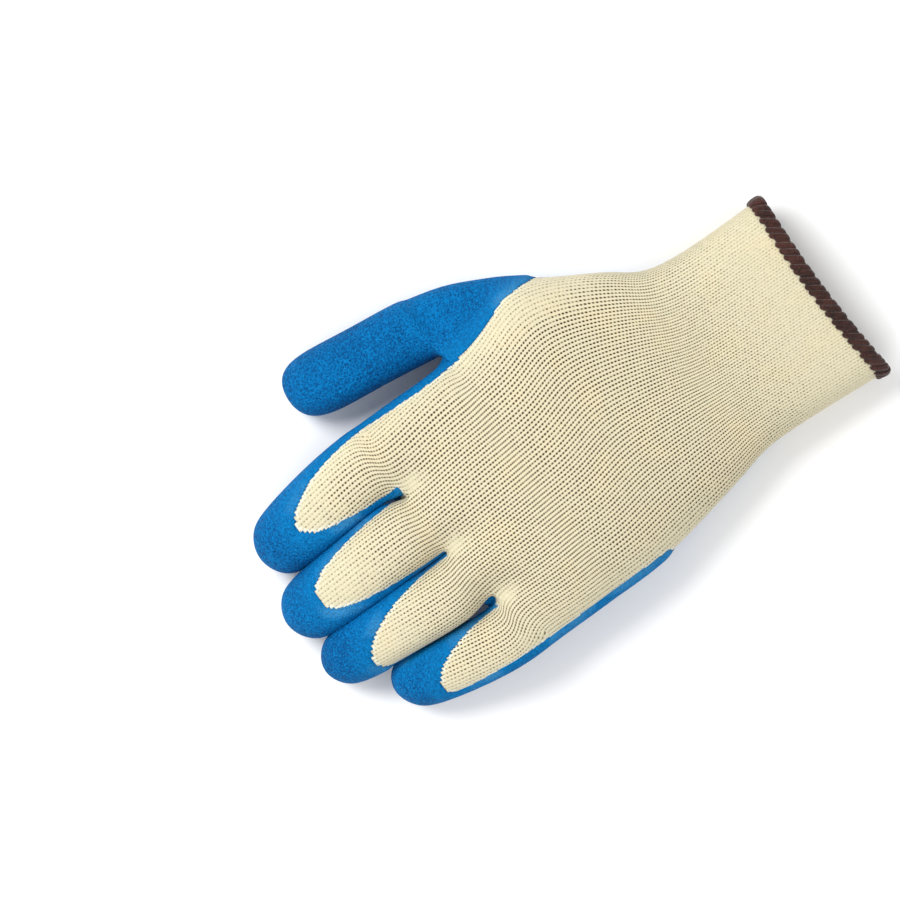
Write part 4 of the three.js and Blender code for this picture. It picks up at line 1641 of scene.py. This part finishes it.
@dataclass
class CuffHem:
    """The overlocked hem round the cuff: a core, and thread wound round the edge.

    Attributes:
        stitches: Turns of thread round the rim.
        core: The core's section, as ways out of the knit and up the glove, in millimetres.
        path: The way of one turn of thread: out, up, and turns that it runs ahead.
        sway: How far the turns stand off their even spacing, in turns.
        sway_pace: How fast that changes from turn to turn.
        width: Half the width of the thread's bundle.
        depth: Half its thickness.
        stations: Sections round the core.
        sides: Sides of the thread's section.
        tip: How far the thread's end lies past its first section, in steps.
        taper: Twice the steps over which it fills out from there.
        point: How far its closed end stands out, in steps.
        heart: A place inside the edge that it faces away from: out and up.
        lowest: How far over the table the hem stays, in metres.
    """

    stitches: int = 68
    core: tuple[tuple[float, float], ...] = (
        (0.25, 4.8),
        (0.75, 4.5),
        (0.9, 3.0),
        (0.75, 0.5),
        (0.1, -0.3),
        (-0.8, -0.5),
        (-1.7, -0.3),
        (-2.35, 0.5),
        (-2.5, 3.0),
        (-2.35, 4.9),
        (-1.85, 5.3),
        (-1.85, 0.1),
        (-0.8, -0.15),
        (0.25, 0.1),
    )
    path: tuple[tuple[float, float, float], ...] = (
        (-0.1, 5.7, 0.15),
        (0.6, 5.2, 0.1),
        (0.95, 4.4, -0.05),
        (1.1, 3.2, -0.3),
        (1.1, 1.8, -0.55),
        (0.95, 0.6, -0.8),
        (0.3, -0.3, -0.95),
        (-0.8, -0.6, -1.05),
        (-1.9, -0.3, -1.2),
        (-2.5, 0.5, -1.35),
        (-2.65, 2.4, -1.65),
        (-2.5, 4.4, -1.95),
        (-1.8, 5.6, -2.1),
    )
    sway: float = 0.16
    sway_pace: float = 2.4
    width: float = 1.36
    depth: float = 0.5
    stations: int = 96
    sides: int = 8
    tip: float = 0.35
    taper: float = 2.2
    point: float = 0.2
    heart: tuple[float, float] = (-0.8, 3.0)
    lowest: float = 0.00002

    def _rim(self, form: bpy.types.Object) -> list[RimPoint]:
        """The cuff's edge, in order.

        Args:
            form: The smooth hand.

        Returns:
            Places along the edge, with their ways.
        """
        net = bmesh.new()
        net.from_mesh(form.data)
        net.normal_update()
        corner = next(v for v in net.verts if v.is_boundary)
        ring = [corner]
        while True:
            beside = [e.other_vert(ring[-1]) for e in ring[-1].link_edges if e.is_boundary]
            onward = [v for v in beside if v not in ring[-2:]]
            if len(ring) > 2 and ring[0] in onward:
                break
            ring.append(onward[0])
        points = []
        for before, here, after in zip([ring[-1], *ring[:-1]], ring, [*ring[1:], ring[0]]):
            inner = next(e.other_vert(here) for e in here.link_edges if not e.is_boundary)
            up = (inner.co - here.co).normalized()
            along = (after.co - before.co).normalized()
            out = along.cross(up).normalized()
            if out.dot(here.normal) < 0:
                out.negate()
            points.append(RimPoint(here.co.copy(), out, up, along))
        net.free()
        return points

    @staticmethod
    def _at(rim: list[RimPoint], turn: float) -> RimPoint:
        """A place part of the way round the rim.

        Args:
            rim: The rim.
            turn: How far round, from 0 to 1.

        Returns:
            The place, between the two nearest ones.
        """
        where = (turn % 1.0) * len(rim)
        i, share = int(where), where % 1.0
        a, b = rim[i % len(rim)], rim[(i + 1) % len(rim)]
        return RimPoint(
            a.place.lerp(b.place, share),
            a.out.lerp(b.out, share).normalized(),
            a.up.lerp(b.up, share).normalized(),
            a.along.lerp(b.along, share).normalized(),
        )

    def _core(self, rim: list[RimPoint]) -> bpy.types.Object:
        """Extrudes the core's section ring by ring round the edge.

        Args:
            rim: The rim.

        Returns:
            The core.
        """
        spots = [self._at(rim, i / self.stations) for i in range(self.stations)]
        rings = [[p.place + (p.out * out + p.up * up) * MM for p in spots] for out, up in self.core]
        net = Net("hem_core", rings[0])
        first = ring = list(range(self.stations))
        for corners in rings[1:]:
            ring = net.extrude(ring, corners)
        net.bridge(first, ring)
        return net.finish()

    def _thread(self) -> bpy.types.Object:
        """One straight turn of thread, a step long for each point of its path.

        Returns:
            The thread, with x across it, y along it and z through it.
        """
        count = len(self.path)

        def size(away: float) -> float:
            """How far the thread has filled out at a number of steps from one of its ends."""
            return math.sin(math.pi * clamp((away + self.tip) / self.taper, 0, 0.5))

        angles = [2 * math.pi * k / self.sides for k in range(self.sides)]
        rings = []
        for i in range(count):
            full = size(i) * size(count - 1 - i)
            across, through = self.width * full, self.depth * full
            rings.append([Vector((math.cos(a) * across, i, math.sin(a) * through)) for a in angles])
        net = Net("hem_thread", rings[0])
        first = ring = list(range(self.sides))
        for corners in rings[1:]:
            ring = net.extrude(ring, corners)
        for end, y in ((first, -self.point), (ring, count - 1 + self.point)):
            net.close(end, Vector((0, y, 0)))
        return net.finish()

    def _wind(self, thread: bpy.types.Object, rim: list[RimPoint], start: float) -> None:
        """Lays a turn of thread round the cuff's edge.

        Args:
            thread: The straight thread.
            rim: The rim.
            start: Where it starts, in turns.
        """
        last = len(self.path) - 1
        for corner in thread.data.vertices:
            across, along, through = corner.co
            i = int(clamp(along, 0, last - 1))
            a, b = Vector(self.path[i]), Vector(self.path[i + 1])
            out, up, ahead = a.lerp(b, along - i)
            before, after = Vector(self.path[max(i - 1, 0)]), Vector(self.path[min(i + 2, last)])
            way = ((b - a) + (after - before) * 0.5).xy.normalized()
            spot = self._at(rim, start + ahead / self.stitches)
            facing = (spot.out * way.y * -1 + spot.up * way.x).normalized()
            if facing.dot(spot.out * (out - self.heart[0]) + spot.up * (up - self.heart[1])) < 0:
                facing.negate()
            beside = spot.out * out + spot.up * up + spot.along * across
            corner.co = spot.place + (beside + facing * through) * MM

    def build(self, form: bpy.types.Object) -> bpy.types.Object:
        """Makes the hem.

        Args:
            form: The smooth hand.

        Returns:
            The hem, as one piece.
        """
        rim = self._rim(form)
        core = self._core(rim)
        thread = self._thread()
        turns = [copy_of(thread, f"hem_turn_{i}") for i in range(self.stitches)]
        for i, turn in enumerate(turns):
            self._wind(turn, rim, (i + self.sway * math.sin(self.sway_pace * i)) / self.stitches)
        bpy.data.objects.remove(thread)
        bpy.ops.object.select_all(action="DESELECT")
        for piece in (*turns, core):
            piece.select_set(True)
        bpy.context.view_layer.objects.active = core
        bpy.ops.object.join()
        core.name = core.data.name = "hem_binding"
        select_only(core)
        bpy.ops.object.mode_set(mode="EDIT")
        bpy.ops.mesh.select_all(action="SELECT")
        bpy.ops.mesh.normals_make_consistent(inside=False)
        leave_edit()
        for corner in core.data.vertices:
            corner.co.z = max(corner.co.z, self.lowest)
        shade_smooth(core)
        dress(core, ThreadFinish().material(), "hem", "cuff_hem")
        return core


@dataclass
class Studio:
    """The table, the light and the camera.

    Attributes:
        middle: Where the camera looks, in metres.
        view: The size of the picture on the table.
        height: The camera's height.
        turn: How far the glove is turned in the picture.
        table: The table's size.
        table_top: The table's height, just under the glove.
        look_at: How high over the table the camera and the lights are aimed.
        sensor: The camera's sensor, in millimetres.
        world_light: How strongly the white surroundings shine.
        lamps: The lights: name, place, width in metres and power in watts.
    """

    middle: tuple[float, float] = (0.0101, 0.0329)
    view: float = 0.351
    height: float = 1.3
    turn: float = math.radians(-125.9)
    table: float = 6.0
    table_top: float = -0.0001
    look_at: float = 0.02
    sensor: float = 36.0
    world_light: float = 0.55
    lamps: tuple[tuple[str, tuple[float, float, float], float, float], ...] = (
        ("key_light", (1.0, 0.45, 1.3), 0.9, 24),
        ("fill_light", (-0.8, -1.0, 1.4), 1.4, 9),
        ("back_light", (-0.6, 1.2, 1.4), 1.4, 9),
    )

    def _light(self, name: str, place: Vector, size: float, power: float) -> None:
        """Adds a soft light that looks at the glove.

        Args:
            name: Its name.
            place: Where it hangs.
            size: Its width, in metres.
            power: Its power, in watts.
        """
        bpy.ops.object.light_add(type="AREA", location=place)
        light = bpy.context.view_layer.objects.active
        light.name = name
        light.data.shape = "DISK"
        light.data.size = size
        light.data.energy = power
        light.rotation_euler = (Vector((0, 0, self.look_at)) - place).to_track_quat("-Z", "Y").to_euler()

    def build(self) -> None:
        """Makes the table, the lights and the camera."""
        bpy.ops.object.select_all(action="DESELECT")
        bpy.ops.mesh.primitive_plane_add(size=self.table, location=(0, 0, self.table_top))
        floor = bpy.context.view_layer.objects.active
        floor.name = "table_top"
        floor.data.materials.append(FloorFinish().material())

        for name, place, size, power in self.lamps:
            self._light(name, Vector(place), size, power)
        world = bpy.data.worlds.new("studio")
        world.use_nodes = True
        background = world.node_tree.nodes["Background"]
        background.inputs["Color"].default_value = (1, 1, 1, 1)
        background.inputs["Strength"].default_value = self.world_light
        bpy.context.scene.world = world
        bpy.context.scene.view_settings.view_transform = "Standard"

        bpy.ops.object.camera_add(location=(*self.middle, self.height))
        camera = bpy.context.view_layer.objects.active
        camera.name = "camera"
        camera.data.sensor_width = self.sensor
        camera.data.lens = self.sensor * (self.height - self.look_at) / self.view
        camera.data.dof.use_dof = False
        camera.rotation_euler = (0, 0, self.turn)
        bpy.context.scene.camera = camera


def main() -> None:
    """Builds the glove and the studio."""
    logging.basicConfig(level=logging.INFO, format="%(message)s")
    shape = HandShape()
    form = GloveForm(shape).build()
    LOG.info("hand form: %d corners", len(form.data.vertices))
    coat = LatexCoat(CoatEdge(shape))
    hem = CuffHem()
    for piece in (coat.build(form), KnitGlove(shape).build(form, coat.rim), hem.build(form)):
        LOG.info("%s: %d faces", piece.name, len(piece.data.polygons))
    bpy.data.objects.remove(form)
    Studio().build()


if __name__ == "__main__":
    main()
